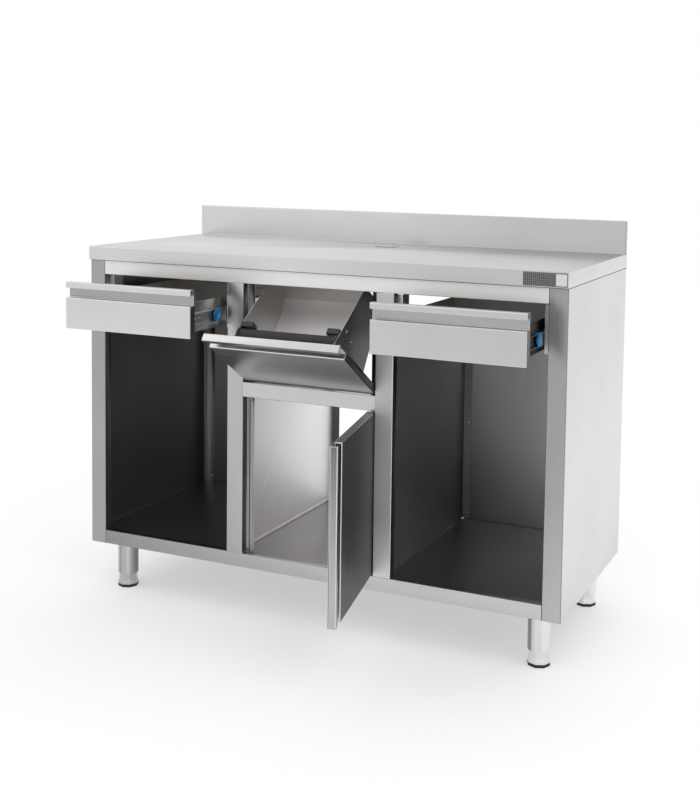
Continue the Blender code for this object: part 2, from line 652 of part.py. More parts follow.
def make_hopper(carcass):
    inset = HOPPER_PIVOT_INSET
    place = (0.0, inset, HOPPER_PIVOT_HEIGHT)
    holder = add_holder("hopper_pivot", carcass, place, (radians(HOPPER_TILT), 0.0, 0.0))
    shut = add_holder("hopper_shut_frame", holder, (0.0, -inset, -inset))
    rim_height, stop_front, stop_height = hopper_rim()
    wall = FRONT_THICKNESS + SEAT_GAP
    back = stop_front + HOPPER_STOP_LENGTH
    floor = HOPPER_FLOOR_LIFT
    rod = (inset, inset)

    side_rim = HOPPER_SIDE_INSET + FRONT_RIM
    bottom_rim = inset + HOPPER_ROD_RADIUS + ROD_WALL
    front = add_front("hopper_front", shut, HOPPER_FRONT_HALF, HOPPER_FRONT_HEIGHT, side_rim, bottom_rim)
    mesh = bmesh.new()
    end = HOPPER_FRONT_HALF + 0.01
    add_cylinder(mesh, "x", HOPPER_ROD_RADIUS + SEAT_GAP, -end, end, rod, SMALL_SEGMENTS)
    cut(front, add_piece("hopper_rod_cutter", mesh, shut))

    mesh = bmesh.new()
    outline = [
        (wall, 0.0),
        (back, 0.0),
        (back, stop_height),
        (stop_front, stop_height),
        (stop_front, rim_height(stop_front)),
        (wall, rim_height(wall)),
    ]
    add_prism(mesh, outline, "x", -HOPPER_SIDE_FACE, HOPPER_SIDE_FACE)
    hopper_bin = add_piece("hopper_bin", mesh, shut, STAINLESS)
    mesh = bmesh.new()
    inside = HOPPER_SIDE_FACE - SHEET
    add_box(mesh, (-inside, wall + SHEET, floor + SHEET), (inside, back - SHEET, HOPPER_FRONT_HEIGHT + 0.05))
    add_box(mesh, (-inside, wall - 0.01, -0.01), (inside, back + 0.01, floor))
    cut(hopper_bin, add_piece("hopper_bin_cutter", mesh, shut))

    # The knock bar has a flange at each end against the bin's sides, and a rubber sleeve between the flanges.
    bar = (KNOCK_BAR_SETBACK, rim_height(KNOCK_BAR_SETBACK) - KNOCK_BAR_DROP)
    end = inside - SEAT_GAP
    shoulder = end - KNOCK_FLANGE_THICKNESS
    steps = [
        (-end, KNOCK_FLANGE_RADIUS),
        (-shoulder, KNOCK_FLANGE_RADIUS),
        (-shoulder, KNOCK_BAR_RADIUS),
        (shoulder, KNOCK_BAR_RADIUS),
        (shoulder, KNOCK_FLANGE_RADIUS),
        (end, KNOCK_FLANGE_RADIUS),
    ]
    mesh = bmesh.new()
    rings = []
    for along, radius in steps:
        rings.append([spot("x", along, *point) for point in circle(radius, SMALL_SEGMENTS, bar)])
    add_rings(mesh, rings)
    add_piece("knock_bar", mesh, shut, STAINLESS, smooth=True)

    mesh = bmesh.new()
    sleeve_end = shoulder - SEAT_GAP
    bore = KNOCK_BAR_RADIUS + SEAT_GAP
    profile = [
        (bore, -sleeve_end),
        (KNOCK_SLEEVE_RADIUS, -sleeve_end),
        (KNOCK_SLEEVE_RADIUS, sleeve_end),
        (bore, sleeve_end),
    ]
    add_tube(mesh, profile, "x", bar, SMALL_SEGMENTS)
    add_piece("knock_bar_sleeve", mesh, shut, BLACK_RUBBER, smooth=True)

    mesh = bmesh.new()
    end = CENTRE_POST_INNER + HOPPER_ROD_REACH
    add_cylinder(mesh, "x", HOPPER_ROD_RADIUS, -end, end, rod, SMALL_SEGMENTS)
    add_piece("hopper_pivot_rod", mesh, shut, ZINC_STEEL, smooth=True)


def make_door(carcass):
    place = (DOOR_PIVOT_X, DOOR_PIVOT_DEPTH, DOOR_BOTTOM)
    holder = add_holder("door_pivot", carcass, place, (0.0, 0.0, radians(DOOR_SWING)))
    shut = add_holder("door_shut_frame", holder, (DOOR_PIVOT_INSET, -DOOR_PIVOT_DEPTH, 0.0))
    skin_depth = FRONT_THICKNESS - SHEET - SEAT_GAP
    axis = (-DOOR_PIVOT_INSET, DOOR_PIVOT_DEPTH)

    mesh = bmesh.new()
    outline = [(-across, depth) for across, depth in grip_outline(DOOR_WIDTH, skin_depth)]
    add_prism(mesh, outline, "z", 0.0, DOOR_HEIGHT)
    skin = add_piece("door_skin", mesh, shut, STAINLESS)
    mesh = bmesh.new()
    panel_edge = DOOR_WIDTH - LIP_HEIGHT - RECESS_HEIGHT
    hinge_rim = DOOR_PIVOT_INSET + DOOR_ROD_RADIUS + ROD_WALL
    low = (-panel_edge + FRONT_RIM, SHEET, FRONT_RIM)
    add_box(mesh, low, (-hinge_rim, FRONT_THICKNESS + 0.01, DOOR_HEIGHT - FRONT_RIM))
    cut(skin, add_piece("door_hollow_cutter", mesh, shut))
    mesh = bmesh.new()
    bore = DOOR_ROD_RADIUS + SEAT_GAP
    add_cylinder(mesh, "z", bore, -0.01, DOOR_HEIGHT + 0.01, axis, SMALL_SEGMENTS)
    cut(skin, add_piece("door_rod_cutter", mesh, shut))

    mesh = bmesh.new()
    add_box(mesh, (-DOOR_WIDTH, skin_depth + SEAT_GAP, 0.0), (0.0, FRONT_THICKNESS, DOOR_HEIGHT))
    add_piece("door_liner", mesh, shut, STAINLESS)

    mesh = bmesh.new()
    rod_end = FRONT_GAP + DOOR_ROD_REACH
    add_cylinder(mesh, "z", DOOR_ROD_RADIUS, -rod_end, DOOR_HEIGHT + rod_end, axis, SMALL_SEGMENTS)
    add_piece("door_pivot_rod", mesh, shut, ZINC_STEEL, smooth=True)

    # A bush on the bottom rail carries the door.
    mesh = bmesh.new()
    centre = (DOOR_PIVOT_X, DOOR_PIVOT_DEPTH)
    bore = DOOR_ROD_RADIUS + ROD_CLEARANCE
    low = BOTTOM_RAIL_HEIGHT + SEAT_GAP
    high = DOOR_BOTTOM - SEAT_GAP
    profile = [(bore, low), (DOOR_BUSH_RADIUS, low), (DOOR_BUSH_RADIUS, high), (bore, high)]
    add_tube(mesh, profile, "z", centre, SMALL_SEGMENTS)
    add_piece("door_pivot_bush", mesh, carcass, BLACK_PLASTIC, smooth=True)

    mesh = bmesh.new()
    left = -DOOR_WIDTH / 2 + CATCH_EDGE_MARGIN
    front = FRONT_THICKNESS + SEAT_GAP
    top = MID_RAIL_BOTTOM - SEAT_GAP
    add_box(mesh, (left, front, top - CATCH_HEIGHT), (left + CATCH_LENGTH, front + CATCH_DEPTH, top))
    add_piece("door_catch", mesh, carcass, BLACK_PLASTIC)


def leg_spots():
    side = HALF_WIDTH - LEG_SIDE_INSET
    rear = CARCASS_DEPTH - LEG_REAR_INSET
    return [
        ("front_left", (-side, LEG_FRONT_INSET)),
        ("front_right", (side, LEG_FRONT_INSET)),
        ("rear_left", (-side, rear)),
        ("rear_right", (side, rear)),
    ]


def make_legs(carcass):
    floor = -LEG_HEIGHT
    top = BASE_TOP - SHEET - SEAT_GAP
    bore = LEG_RADIUS - LEG_WALL
    tube_end = floor + LEG_TUBE_CLEARANCE
    profile = [
        (bore, tube_end),
        (LEG_RADIUS, tube_end),
        (LEG_RADIUS, top - LEG_FLANGE_THICKNESS),
        (LEG_FLANGE_RADIUS, top - LEG_FLANGE_THICKNESS),
        (LEG_FLANGE_RADIUS, top),
        (bore, top),
    ]
    fit_radius = bore - FOOT_FIT
    neck = min(FOOT_NECK_APOTHEM, fit_radius * cos(pi / 8))
    flare = FOOT_NECK_HEIGHT - PAD_HEIGHT
    levels = [
        (PAD_HEIGHT + SEAT_GAP, 0.0, FOOT_BASE_APOTHEM),
        (PAD_HEIGHT + 0.4 * flare, 0.0, 0.8 * FOOT_BASE_APOTHEM + 0.2 * neck),
        (FOOT_NECK_HEIGHT, 0.0, neck),
        (LEG_TUBE_CLEARANCE, 0.0, neck),
        (LEG_TUBE_CLEARANCE + 0.004, 1.0, fit_radius),
        (LEG_TUBE_CLEARANCE + FOOT_INSERT, 1.0, fit_radius),
    ]
    for name, centre in leg_spots():
        mesh = bmesh.new()
        add_tube(mesh, profile, "z", centre, ROUND_SEGMENTS)
        add_piece(name + "_leg", mesh, carcass, STAINLESS, smooth=True)
        holder = add_holder(name + "_foot_axis", carcass, (*centre, floor))
        mesh = bmesh.new()
        rings = []
        for height, roundness, reach in levels:
            ring = []
            for index in range(ROUND_SEGMENTS):
                turn = 2 * pi * (index + 0.5) / ROUND_SEGMENTS
                radius = roundness * reach + (1 - roundness) * octagon_reach(turn, reach)
                ring.append((radius * cos(turn), radius * sin(turn), height))
            rings.append(ring)
        add_rings(mesh, rings)
        add_piece(name + "_foot", mesh, holder, STAINLESS, smooth=True)
        mesh = bmesh.new()
        reach = (FOOT_BASE_APOTHEM + PAD_LIP) / cos(pi / 8)
        add_prism(mesh, circle(reach, 8), "z", 0.0, PAD_HEIGHT)
        add_piece(name + "_foot_pad", mesh, holder, BLACK_RUBBER)


def door_reach():
    """Most forward line of the open door in carcass coordinates."""
    swing = radians(DOOR_SWING)
    lines = []
    for across in (DOOR_PIVOT_INSET, DOOR_PIVOT_INSET - DOOR_WIDTH):
        for depth in (-DOOR_PIVOT_DEPTH, FRONT_THICKNESS - DOOR_PIVOT_DEPTH):
            lines.append(DOOR_PIVOT_DEPTH + across * sin(swing) + depth * cos(swing))
    return min(lines)


def build():
    for item in list(bpy.data.objects):
        bpy.data.objects.remove(item, do_unlink=True)
    front = min(door_reach(), -LEFT_DRAWER_PULL, -RIGHT_DRAWER_PULL)
    middle = (front + WORKTOP_REAR) / 2
    carcass = add_holder("counter_frame", None, (0.0, -middle, LEG_HEIGHT))
    make_worktop(carcass)
    make_rails(carcass)
    make_base(carcass)
    for name, side in (("left", -1), ("right", 1)):
        make_side_panel(carcass, name, side)
        make_centre_post(carcass, name, side)
        make_rear(carcass, name, side)
        for edge, edge_side in (("left", -1), ("right", 1)):
            make_carrier(carcass, name + "_drawer", edge, side, edge_side)
    make_drawer(carcass, "left_drawer", -1, LEFT_DRAWER_PULL)
    make_drawer(carcass, "right_drawer", 1, RIGHT_DRAWER_PULL)
    make_hopper(carcass)
    make_door(carcass)
    make_legs(carcass)


build()
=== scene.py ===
import json
from math import cos, pi, radians, sin, sqrt

import bmesh
import bpy
from mathutils import Matrix, Vector

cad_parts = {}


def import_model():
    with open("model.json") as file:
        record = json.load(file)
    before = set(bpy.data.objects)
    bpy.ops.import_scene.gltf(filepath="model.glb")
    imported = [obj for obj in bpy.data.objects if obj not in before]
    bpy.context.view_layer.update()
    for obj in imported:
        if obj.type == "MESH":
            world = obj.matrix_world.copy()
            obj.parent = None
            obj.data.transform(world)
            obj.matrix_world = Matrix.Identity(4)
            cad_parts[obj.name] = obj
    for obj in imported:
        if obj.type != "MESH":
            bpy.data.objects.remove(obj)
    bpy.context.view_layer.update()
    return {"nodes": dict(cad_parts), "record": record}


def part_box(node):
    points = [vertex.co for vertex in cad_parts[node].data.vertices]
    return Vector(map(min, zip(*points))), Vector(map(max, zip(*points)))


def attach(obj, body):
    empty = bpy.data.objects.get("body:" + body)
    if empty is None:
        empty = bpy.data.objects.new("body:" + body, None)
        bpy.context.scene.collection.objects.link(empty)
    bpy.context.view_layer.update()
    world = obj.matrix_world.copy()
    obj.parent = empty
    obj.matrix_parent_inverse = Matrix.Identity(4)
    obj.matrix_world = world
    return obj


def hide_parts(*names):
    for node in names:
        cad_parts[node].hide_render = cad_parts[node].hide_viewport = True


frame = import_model()
nodes = frame["nodes"]
bodyOf = {node: body for body, members in frame["record"]["behaviour"]["bodies"].items() for node in members}

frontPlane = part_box("side_panel_left")[0].y    # front face of the carcass
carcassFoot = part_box("side_panel_left")[0].z   # underside of the carcass
print("frame loaded:", len(nodes), "nodes, front plane at", round(frontPlane, 4))


# shader helpers

def addNode(tree, kind, values=None, **settings):
    node = tree.nodes.new(kind)
    for key, value in settings.items():
        setattr(node, key, value)
    for key, value in (values or {}).items():
        node.inputs[key].default_value = value
    return node


def newFinish(name, metallic, roughness, colour):
    finish = bpy.data.materials.new(name)
    finish.use_nodes = True
    tree = finish.node_tree
    shader = tree.nodes["Principled BSDF"]
    shader.inputs["Metallic"].default_value = metallic
    shader.inputs["Roughness"].default_value = roughness
    shader.inputs["Base Color"].default_value = (*colour, 1.0)
    finish.diffuse_color = (*colour, 1.0)
    return finish, tree, shader


def mappedCoords(tree, scale, turn=(0.0, 0.0, 0.0)):
    coords = addNode(tree, "ShaderNodeTexCoord")
    mapping = addNode(tree, "ShaderNodeMapping")
    mapping.inputs["Scale"].default_value = scale
    mapping.inputs["Rotation"].default_value = turn
    tree.links.new(coords.outputs["Object"], mapping.inputs["Vector"])
    return mapping.outputs["Vector"]


def noiseAt(tree, scale, detail, roughness=0.55):
    noise = addNode(tree, "ShaderNodeTexNoise", {"Scale": 1.0, "Detail": detail, "Roughness": roughness})
    tree.links.new(mappedCoords(tree, scale), noise.inputs["Vector"])
    return noise.outputs["Fac"]


def ranged(tree, value, low, high, fromLow=0.3, fromHigh=0.7):
    step = addNode(tree, "ShaderNodeMapRange")
    step.inputs["From Min"].default_value = fromLow
    step.inputs["From Max"].default_value = fromHigh
    step.inputs["To Min"].default_value = low
    step.inputs["To Max"].default_value = high
    tree.links.new(value, step.inputs["Value"])
    return step.outputs["Result"]


def blended(tree, factor, first, second):
    mix = addNode(tree, "ShaderNodeMix", data_type="RGBA")
    sockets = [s for s in mix.inputs if s.type == "RGBA"]
    sockets[0].default_value = (*first, 1.0)
    sockets[1].default_value = (*second, 1.0)
    tree.links.new(factor, mix.inputs["Factor"])
    return [s for s in mix.outputs if s.type == "RGBA"][0]


def raised(tree, shader, height, strength, distance):
    bump = addNode(tree, "ShaderNodeBump", {"Strength": strength, "Distance": distance})
    tree.links.new(height, bump.inputs["Height"])
    tree.links.new(bump.outputs["Normal"], shader.inputs["Normal"])


# finishes

steelGrain = {"x": (1.6, 420.0, 420.0), "y": (420.0, 1.6, 420.0), "z": (420.0, 420.0, 1.6)}


def withPaintedLightRamp(tree, colour, fade):    # multiplies a colour by a ramp along one axis, painted light and shade
    axis, start, end, first, last = fade
    split = addNode(tree, "ShaderNodeSeparateXYZ")
    tree.links.new(mappedCoords(tree, (1.0, 1.0, 1.0)), split.inputs["Vector"])
    mix = addNode(tree, "ShaderNodeMix", data_type="RGBA", blend_type="MULTIPLY")
    mix.inputs["Factor"].default_value = 1.0
    sockets = [s for s in mix.inputs if s.type == "RGBA"]
    tree.links.new(colour, sockets[0])
    tree.links.new(ranged(tree, split.outputs[axis], first, last, start, end), sockets[1])
    return [s for s in mix.outputs if s.type == "RGBA"][0]


def brushedSteel(name, grain, light, dark, rough=(0.235, 0.285), bump=0.008, metal=1.0, fade=None):
    finish, tree, shader = newFinish(name, metal, rough[0], light)
    lines = noiseAt(tree, steelGrain[grain], 4.0, 0.62)         # brushing
    clouds = noiseAt(tree, (3.1, 3.1, 3.1), 3.0)                # handling haze
    colour = blended(tree, ranged(tree, clouds, 0.0, 1.0), light, dark)
    tree.links.new(withPaintedLightRamp(tree, colour, fade) if fade else colour, shader.inputs["Base Color"])
    tree.links.new(ranged(tree, lines, rough[0], rough[1]), shader.inputs["Roughness"])
    raised(tree, shader, lines, bump, 0.0004)
    return finish


steelX = brushedSteel("brushedSteelAlong", "x", (0.64, 0.64, 0.635), (0.60, 0.60, 0.595))
# painted shade: the sheet darkens towards the right, on the worktop and the right drawer's front
steelTopShaded = brushedSteel("worktopSheet", "x", (0.64, 0.64, 0.635), (0.60, 0.60, 0.595),
                        fade=("X", -0.05, 0.38, 1.0, 0.82))
steelZ = brushedSteel("brushedSteelUpright", "z", (0.60, 0.60, 0.595), (0.56, 0.56, 0.555))
# painted light: lighter copy of the sheet for the lit outer sides
steelSideLit = brushedSteel("sidePanelSheet", "z", (0.69, 0.69, 0.695), (0.64, 0.64, 0.645))
# painted shade: darker copy of the sheet for the front posts
steelPostShaded = brushedSteel("postFace", "z", (0.39, 0.385, 0.38), (0.345, 0.34, 0.335))
# painted shade on the right post, with painted light lifting it towards the foot
rightPostShaded = brushedSteel("rightPostFace", "z", (0.39, 0.385, 0.38), (0.345, 0.34, 0.335), metal=0.6,
                         fade=("Z", carcassFoot, carcassFoot + 0.30, 1.45, 1.0))
# painted shade on the left centre post, lighter towards the top
leftStileShaded = brushedSteel("leftStileFace", "z", (0.455, 0.45, 0.445), (0.41, 0.405, 0.40),
                         fade=("Z", carcassFoot, carcassFoot + 0.50, 0.93, 1.10))
# painted shade: the bottom rail darkens towards the left
steelPlinthShaded = brushedSteel("bottomRailFace", "x", (0.56, 0.555, 0.55), (0.51, 0.505, 0.50),
                           fade=("X", -0.64, 0.25, 0.52, 1.02))
# painted shade: darker copy of the sheet for the rails
steelRailShaded = brushedSteel("railFace", "x", (0.56, 0.555, 0.55), (0.51, 0.505, 0.50))
# painted light: lighter copy for the top rail, lighter still towards the left
steelBeamLit = brushedSteel("topRailFace", "x", (0.70, 0.695, 0.69), (0.65, 0.645, 0.64), (0.40, 0.48),
                         metal=0.6, fade=("X", 0.1, 0.6, 1.25, 1.15))
# painted light: the right centre post grows lighter towards the foot
steelStileLit = brushedSteel("centrePostFace", "z", (0.60, 0.59, 0.585), (0.56, 0.55, 0.545), (0.44, 0.52),
                          metal=0.45, fade=("Z", carcassFoot + 0.08, carcassFoot + 0.19, 1.48, 1.0))
# painted shade in the finger recess of the drawer fronts
steelRecessShaded = brushedSteel("fingerRecess", "x", (0.40, 0.40, 0.40), (0.36, 0.36, 0.36))
# painted shade: darker copy of the sheet for the floor inside the carcass
steelFloorShaded = brushedSteel("middleFloor", "y", (0.35, 0.34, 0.335), (0.31, 0.30, 0.295), (0.34, 0.40), 0.005)
# painted light: pale copy of the sheet for the middle bay's partition faces and skirting
satinWall = brushedSteel("satinWall", "z", (0.92, 0.91, 0.90), (0.88, 0.87, 0.86), (0.46, 0.54), 0.004)
steelLeg = brushedSteel("polishedTube", "z", (0.68, 0.68, 0.675), (0.60, 0.60, 0.595), (0.14, 0.20))


def tubePaintedReflections(name, stops):    # painted reflections and shade: the tone changes across the tube by an attribute
    finish, tree, shader = newFinish(name, 1.0, 0.2, stops[len(stops) // 2][1:] * 3)
    sweep = addNode(tree, "ShaderNodeAttribute", attribute_name="sweep")
    ramp = addNode(tree, "ShaderNodeValToRGB")
    band = ramp.color_ramp.elements
    while len(band) < len(stops):
        band.new(0.5)
    for element, (place, tone) in zip(band, stops):
        element.position = place
        element.color = (tone, tone * 0.995, tone * 0.985, 1.0)
    tree.links.new(sweep.outputs["Fac"], ramp.inputs["Fac"])
    tree.links.new(ramp.outputs["Color"], shader.inputs["Base Color"])
    lines = noiseAt(tree, steelGrain["z"], 4.0, 0.62)
    tree.links.new(ranged(tree, lines, 0.16, 0.24), shader.inputs["Roughness"])
    raised(tree, shader, lines, 0.006, 0.0004)
    return finish


# painted reflections: a shaded set of bands for the left legs, a lit set for the right legs
shadedTube = tubePaintedReflections("shadedTube",
                       [(0.0, 0.36), (0.09, 0.48), (0.18, 0.30), (0.28, 0.46), (0.46, 0.48), (0.58, 0.66),
                        (0.68, 0.46), (0.86, 0.30), (1.0, 0.20)])
brightTube = tubePaintedReflections("brightTube",
                       [(0.0, 0.26), (0.09, 0.30), (0.14, 0.68), (0.30, 0.80), (0.44, 0.74), (0.62, 0.82),
                        (0.90, 0.80), (1.0, 0.70)])
# painted light and shade: a shaded copy for the left feet, a lit copy for the right feet
shadedFoot = brushedSteel("shadedFoot", "z", (0.50, 0.50, 0.495), (0.43, 0.43, 0.425), (0.18, 0.26))
brightFoot = brushedSteel("brightFoot", "z", (0.80, 0.80, 0.79), (0.73, 0.73, 0.72), (0.18, 0.26))
# painted shade: dark copy of the sheet for folds and creases
foldLine = brushedSteel("foldLine", "z", (0.30, 0.295, 0.29), (0.24, 0.235, 0.23))
# painted highlight: lighter, smoother copy of the sheet for eased folds and pressings
steelEdgeHighlight = brushedSteel("burnishedFold", "x", (0.68, 0.68, 0.675), (0.62, 0.62, 0.615), (0.20, 0.28), 0.01)
# painted shade: darker copy for the left post's returns and the seam under each leg tube
steelFlangeShaded = brushedSteel("stopFlange", "z", (0.34, 0.335, 0.33), (0.28, 0.275, 0.27), (0.30, 0.40))
# painted shade: dark copy of the sheet for the inside of the side bays
steelInnerShaded = brushedSteel("baySheet", "z", (0.335, 0.335, 0.34), (0.29, 0.29, 0.295), (0.34, 0.46))
# painted shade and reflection on the door's face, lifted towards the top
steelDoorShaded = brushedSteel("doorFace", "z", (0.125, 0.125, 0.131), (0.105, 0.105, 0.110), (0.40, 0.50),
                         fade=("Z", carcassFoot + 0.10, carcassFoot + 0.46, 1.05, 1.75))
# painted light on the door's far end and edges, darkening towards the top
steelStripLit = brushedSteel("doorEndStrip", "z", (0.46, 0.455, 0.45), (0.41, 0.405, 0.40),
                          fade=("Z", carcassFoot + 0.14, carcassFoot + 0.46, 1.08, 0.42))
steelBin = brushedSteel("hopperSheet", "x", (0.70, 0.69, 0.685), (0.64, 0.63, 0.625), (0.26, 0.36))
# painted shade on the bin's inside walls and back, painted light on its floor
binWallShaded = brushedSteel("hopperInsideWall", "z", (0.47, 0.455, 0.45), (0.40, 0.385, 0.38), (0.30, 0.40))
binBackShaded = brushedSteel("hopperInsideBack", "x", (0.56, 0.54, 0.53), (0.48, 0.465, 0.455), (0.30, 0.40))
binFloorLit = brushedSteel("hopperInsideFloor", "x", (0.80, 0.78, 0.77), (0.72, 0.70, 0.69), (0.34, 0.44),
                        metal=0.7)
hopperFace = brushedSteel("hopperFace", "x", (0.62, 0.61, 0.605), (0.57, 0.56, 0.555), (0.26, 0.36))
shadeSteel = brushedSteel("shadedReturn", "z", (0.17, 0.17, 0.17), (0.13, 0.13, 0.13), (0.34, 0.46))
# painted shade in the right bay: its wall darkens towards the back, its back panel is dark
bayWall = brushedSteel("bayWall", "z", (0.62, 0.62, 0.625), (0.56, 0.56, 0.565), (0.34, 0.46),
                       fade=("Y", frontPlane, frontPlane + 0.55, 1.35, 0.70))
bayBack = brushedSteel("bayBack", "z", (0.39, 0.39, 0.395), (0.34, 0.34, 0.345), (0.34, 0.46))
# painted light: lighter, less metallic copy for the inside of the drawer boxes
boxInsideLit = brushedSteel("drawerInside", "y", (0.62, 0.61, 0.60), (0.56, 0.55, 0.54), (0.32, 0.42),
                         metal=0.3)
# painted shade: the left drawer's box darkens towards the back
leftBoxShaded = brushedSteel("leftDrawerSide", "y", (0.70, 0.69, 0.685), (0.64, 0.63, 0.625), (0.26, 0.36),
                       fade=("Y", frontPlane + 0.03, frontPlane + 0.16, 1.0, 0.10))


def zincPlate(name, light, dark):
    finish, tree, shader = newFinish(name, 1.0, 0.36, light)
    flakes = addNode(tree, "ShaderNodeTexVoronoi", {"Scale": 260.0})
    tree.links.new(mappedCoords(tree, (1.0, 1.0, 1.0)), flakes.inputs["Vector"])
    grey = addNode(tree, "ShaderNodeSeparateColor")
    tree.links.new(flakes.outputs["Color"], grey.inputs["Color"])
    tree.links.new(blended(tree, grey.outputs["Red"], light, dark), shader.inputs["Base Color"])
    tree.links.new(ranged(tree, noiseAt(tree, (60.0, 60.0, 60.0), 4.0), 0.30, 0.44),
                   shader.inputs["Roughness"])
    raised(tree, shader, flakes.outputs["Distance"], 0.03, 0.0003)
    return finish


def mouldedPlastic(name, light, dark, rough, grainScale, bump):
    finish, tree, shader = newFinish(name, 0.0, rough[0], light)
    grain = noiseAt(tree, (grainScale, grainScale, grainScale), 5.0)
    tree.links.new(blended(tree, ranged(tree, grain, 0.0, 1.0), light, dark), shader.inputs["Base Color"])
    tree.links.new(ranged(tree, grain, rough[0], rough[1]), shader.inputs["Roughness"])
    raised(tree, shader, grain, bump, 0.0006)
    return finish


zinc = zincPlate("zincPlatedSlide", (0.62, 0.62, 0.60), (0.50, 0.50, 0.485))
clipBlue = mouldedPlastic("clipBluePlastic", (0.03, 0.27, 0.60), (0.016, 0.17, 0.42), (0.22, 0.34), 260.0,
                          0.05)
barRubber = mouldedPlastic("knockBarRubber", (0.022, 0.024, 0.026), (0.012, 0.013, 0.014), (0.52, 0.70),
                           420.0, 0.12)
padRubber = mouldedPlastic("footPadRubber", (0.020, 0.020, 0.021), (0.011, 0.011, 0.012), (0.62, 0.82),
                           650.0, 0.16)
blackNylon = mouldedPlastic("blackNylon", (0.030, 0.030, 0.031), (0.020, 0.020, 0.021), (0.42, 0.55), 700.0,
                            0.08)
greyNylon = mouldedPlastic("greyNylon", (0.50, 0.50, 0.495), (0.45, 0.45, 0.445), (0.34, 0.46), 700.0, 0.06)
plateSatin = brushedSteel("satinPlate", "x", (0.70, 0.70, 0.71), (0.64, 0.64, 0.65), (0.26, 0.38))


def pressedBoard(name):
    finish, tree, shader = newFinish(name, 0.0, 0.8, (0.36, 0.26, 0.16))
    chips = addNode(tree, "ShaderNodeTexVoronoi", {"Scale": 420.0})
    tree.links.new(mappedCoords(tree, (1.0, 1.0, 0.35)), chips.inputs["Vector"])
    tone = addNode(tree, "ShaderNodeSeparateColor")
    tree.links.new(chips.outputs["Color"], tone.inputs["Color"])
    tree.links.new(blended(tree, tone.outputs["Green"], (0.40, 0.29, 0.18), (0.26, 0.18, 0.11)),
                   shader.inputs["Base Color"])
    tree.links.new(ranged(tree, noiseAt(tree, (300.0, 300.0, 300.0), 3.0), 0.7, 0.9),
                   shader.inputs["Roughness"])
    raised(tree, shader, chips.outputs["Distance"], 0.2, 0.0008)
    return finish


board = pressedBoard("pressedBoard")
print("finishes ready")


# softened sheet: a CAD node's own shape with rounded folds and eased sheet edges

def faceRoom(loop):    # clear distance on the face, square to the edge
    face, start, end = loop.face, loop.vert.co, loop.link_loop_next.vert.co
    along = (end - start).normalized()
    inward = face.normal.cross(along)
    nearest = 1.0
    for share in (0.12, 0.5, 0.88):
        point = start.lerp(end, share)
        for other in face.edges:
            if other is loop.edge:
                continue
            first, last = other.verts[0].co - point, other.verts[1].co - point
            a, b = first.dot(along), last.dot(along)
            if a * b <= 0.0 and a != b:
                reach = first.dot(inward) + (last - first).dot(inward) * a / (a - b)
                if reach > 1e-6:
                    nearest = min(nearest, reach)
    return nearest


def edgeRadius(edge, settings):
    direction = (edge.verts[1].co - edge.verts[0].co).normalized()
    wanted = settings["fold"] if edge.is_convex else 0.4 * settings["fold"]
    along = abs(direction[settings.get("cornerAxis", 1)]) > 0.99
    if along and edge.calc_length() < 0.03 and edge.is_convex:
        wanted = settings.get("corner", wanted)
    return min(wanted, 0.38 * min(faceRoom(loop) for loop in edge.link_loops))


def softSheet(node, finishes, settings, rule=None):
    mesh = bmesh.new()
    mesh.from_mesh(nodes[node].data)
    bmesh.ops.remove_doubles(mesh, verts=mesh.verts, dist=0.00002)
    bmesh.ops.dissolve_limit(mesh, angle_limit=radians(0.6), verts=mesh.verts, edges=mesh.edges)
    weight = mesh.edges.layers.float.new("bevel_weight_edge")
    widest = max(settings["fold"], settings.get("corner", 0.0))
    for edge in mesh.edges:
        if len(edge.link_faces) == 2 and edge.calc_face_angle(0.0) > radians(25):
            edge[weight] = edgeRadius(edge, settings) / widest
    for face in mesh.faces:
        face.smooth = True
        face.material_index = rule(face.calc_center_median(), face.normal) if rule else 0
    data = bpy.data.meshes.new(node + "_raw")
    mesh.to_mesh(data)
    mesh.free()
    for finish in finishes:
        data.materials.append(finish)
    raw = bpy.data.objects.new(node + "_raw", data)
    bpy.context.scene.collection.objects.link(raw)
    bevel = raw.modifiers.new("folds", "BEVEL")
    bevel.limit_method = "WEIGHT"
    bevel.width = widest
    bevel.segments = settings.get("segments", 3)
    bevel.use_clamp_overlap = False
    bevel.harden_normals = True
    bevel.miter_outer = "MITER_SHARP"
    if settings.get("edgeSlot") is not None:
        bevel.material = settings["edgeSlot"]
    return keepMesh(raw, node + "_sheet", [node])


def keepMesh(raw, name, replaced, body=None):
    bpy.context.view_layer.update()
    shaped = raw.evaluated_get(bpy.context.evaluated_depsgraph_get())
    data = bpy.data.meshes.new_from_object(shaped)
    data.name = name
    piece = bpy.data.objects.new(name, data)
    bpy.context.scene.collection.objects.link(piece)
    oldData = raw.data
    bpy.data.objects.remove(raw, do_unlink=True)
    if oldData.users == 0:
        bpy.data.meshes.remove(oldData)
    if replaced:
        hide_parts(*replaced)
    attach(piece, body or bodyOf[replaced[0]])
    return piece


hopperJoint = [joint for joint in frame["record"]["behaviour"]["joints"] if joint["name"] == "hopper_tilt"][0]
hopperTilt = radians(-hopperJoint["range_deg"][0])
hopperBack = Vector((0.0, cos(hopperTilt), sin(hopperTilt)))     # depth direction of the tilted bin
hopperUp = Vector((0.0, -sin(hopperTilt), cos(hopperTilt)))
sheetFold = {"fold": 0.0018, "segments": 3}
wideFold = {"fold": 0.0030, "segments": 4}
frontFold = {"fold": 0.0026, "corner": 0.0030, "cornerAxis": 1, "segments": 4, "edgeSlot": 1}


def insideOf(side):
    def rule(centre, normal):
        if normal.y < -0.5:
            return 2 if centre.y < frontPlane + 0.003 else 4
        inward = -side * normal.x > 0.5 or abs(normal.y) > 0.5
        return 1 if inward and centre.y > frontPlane + 0.0005 else 0
    return rule


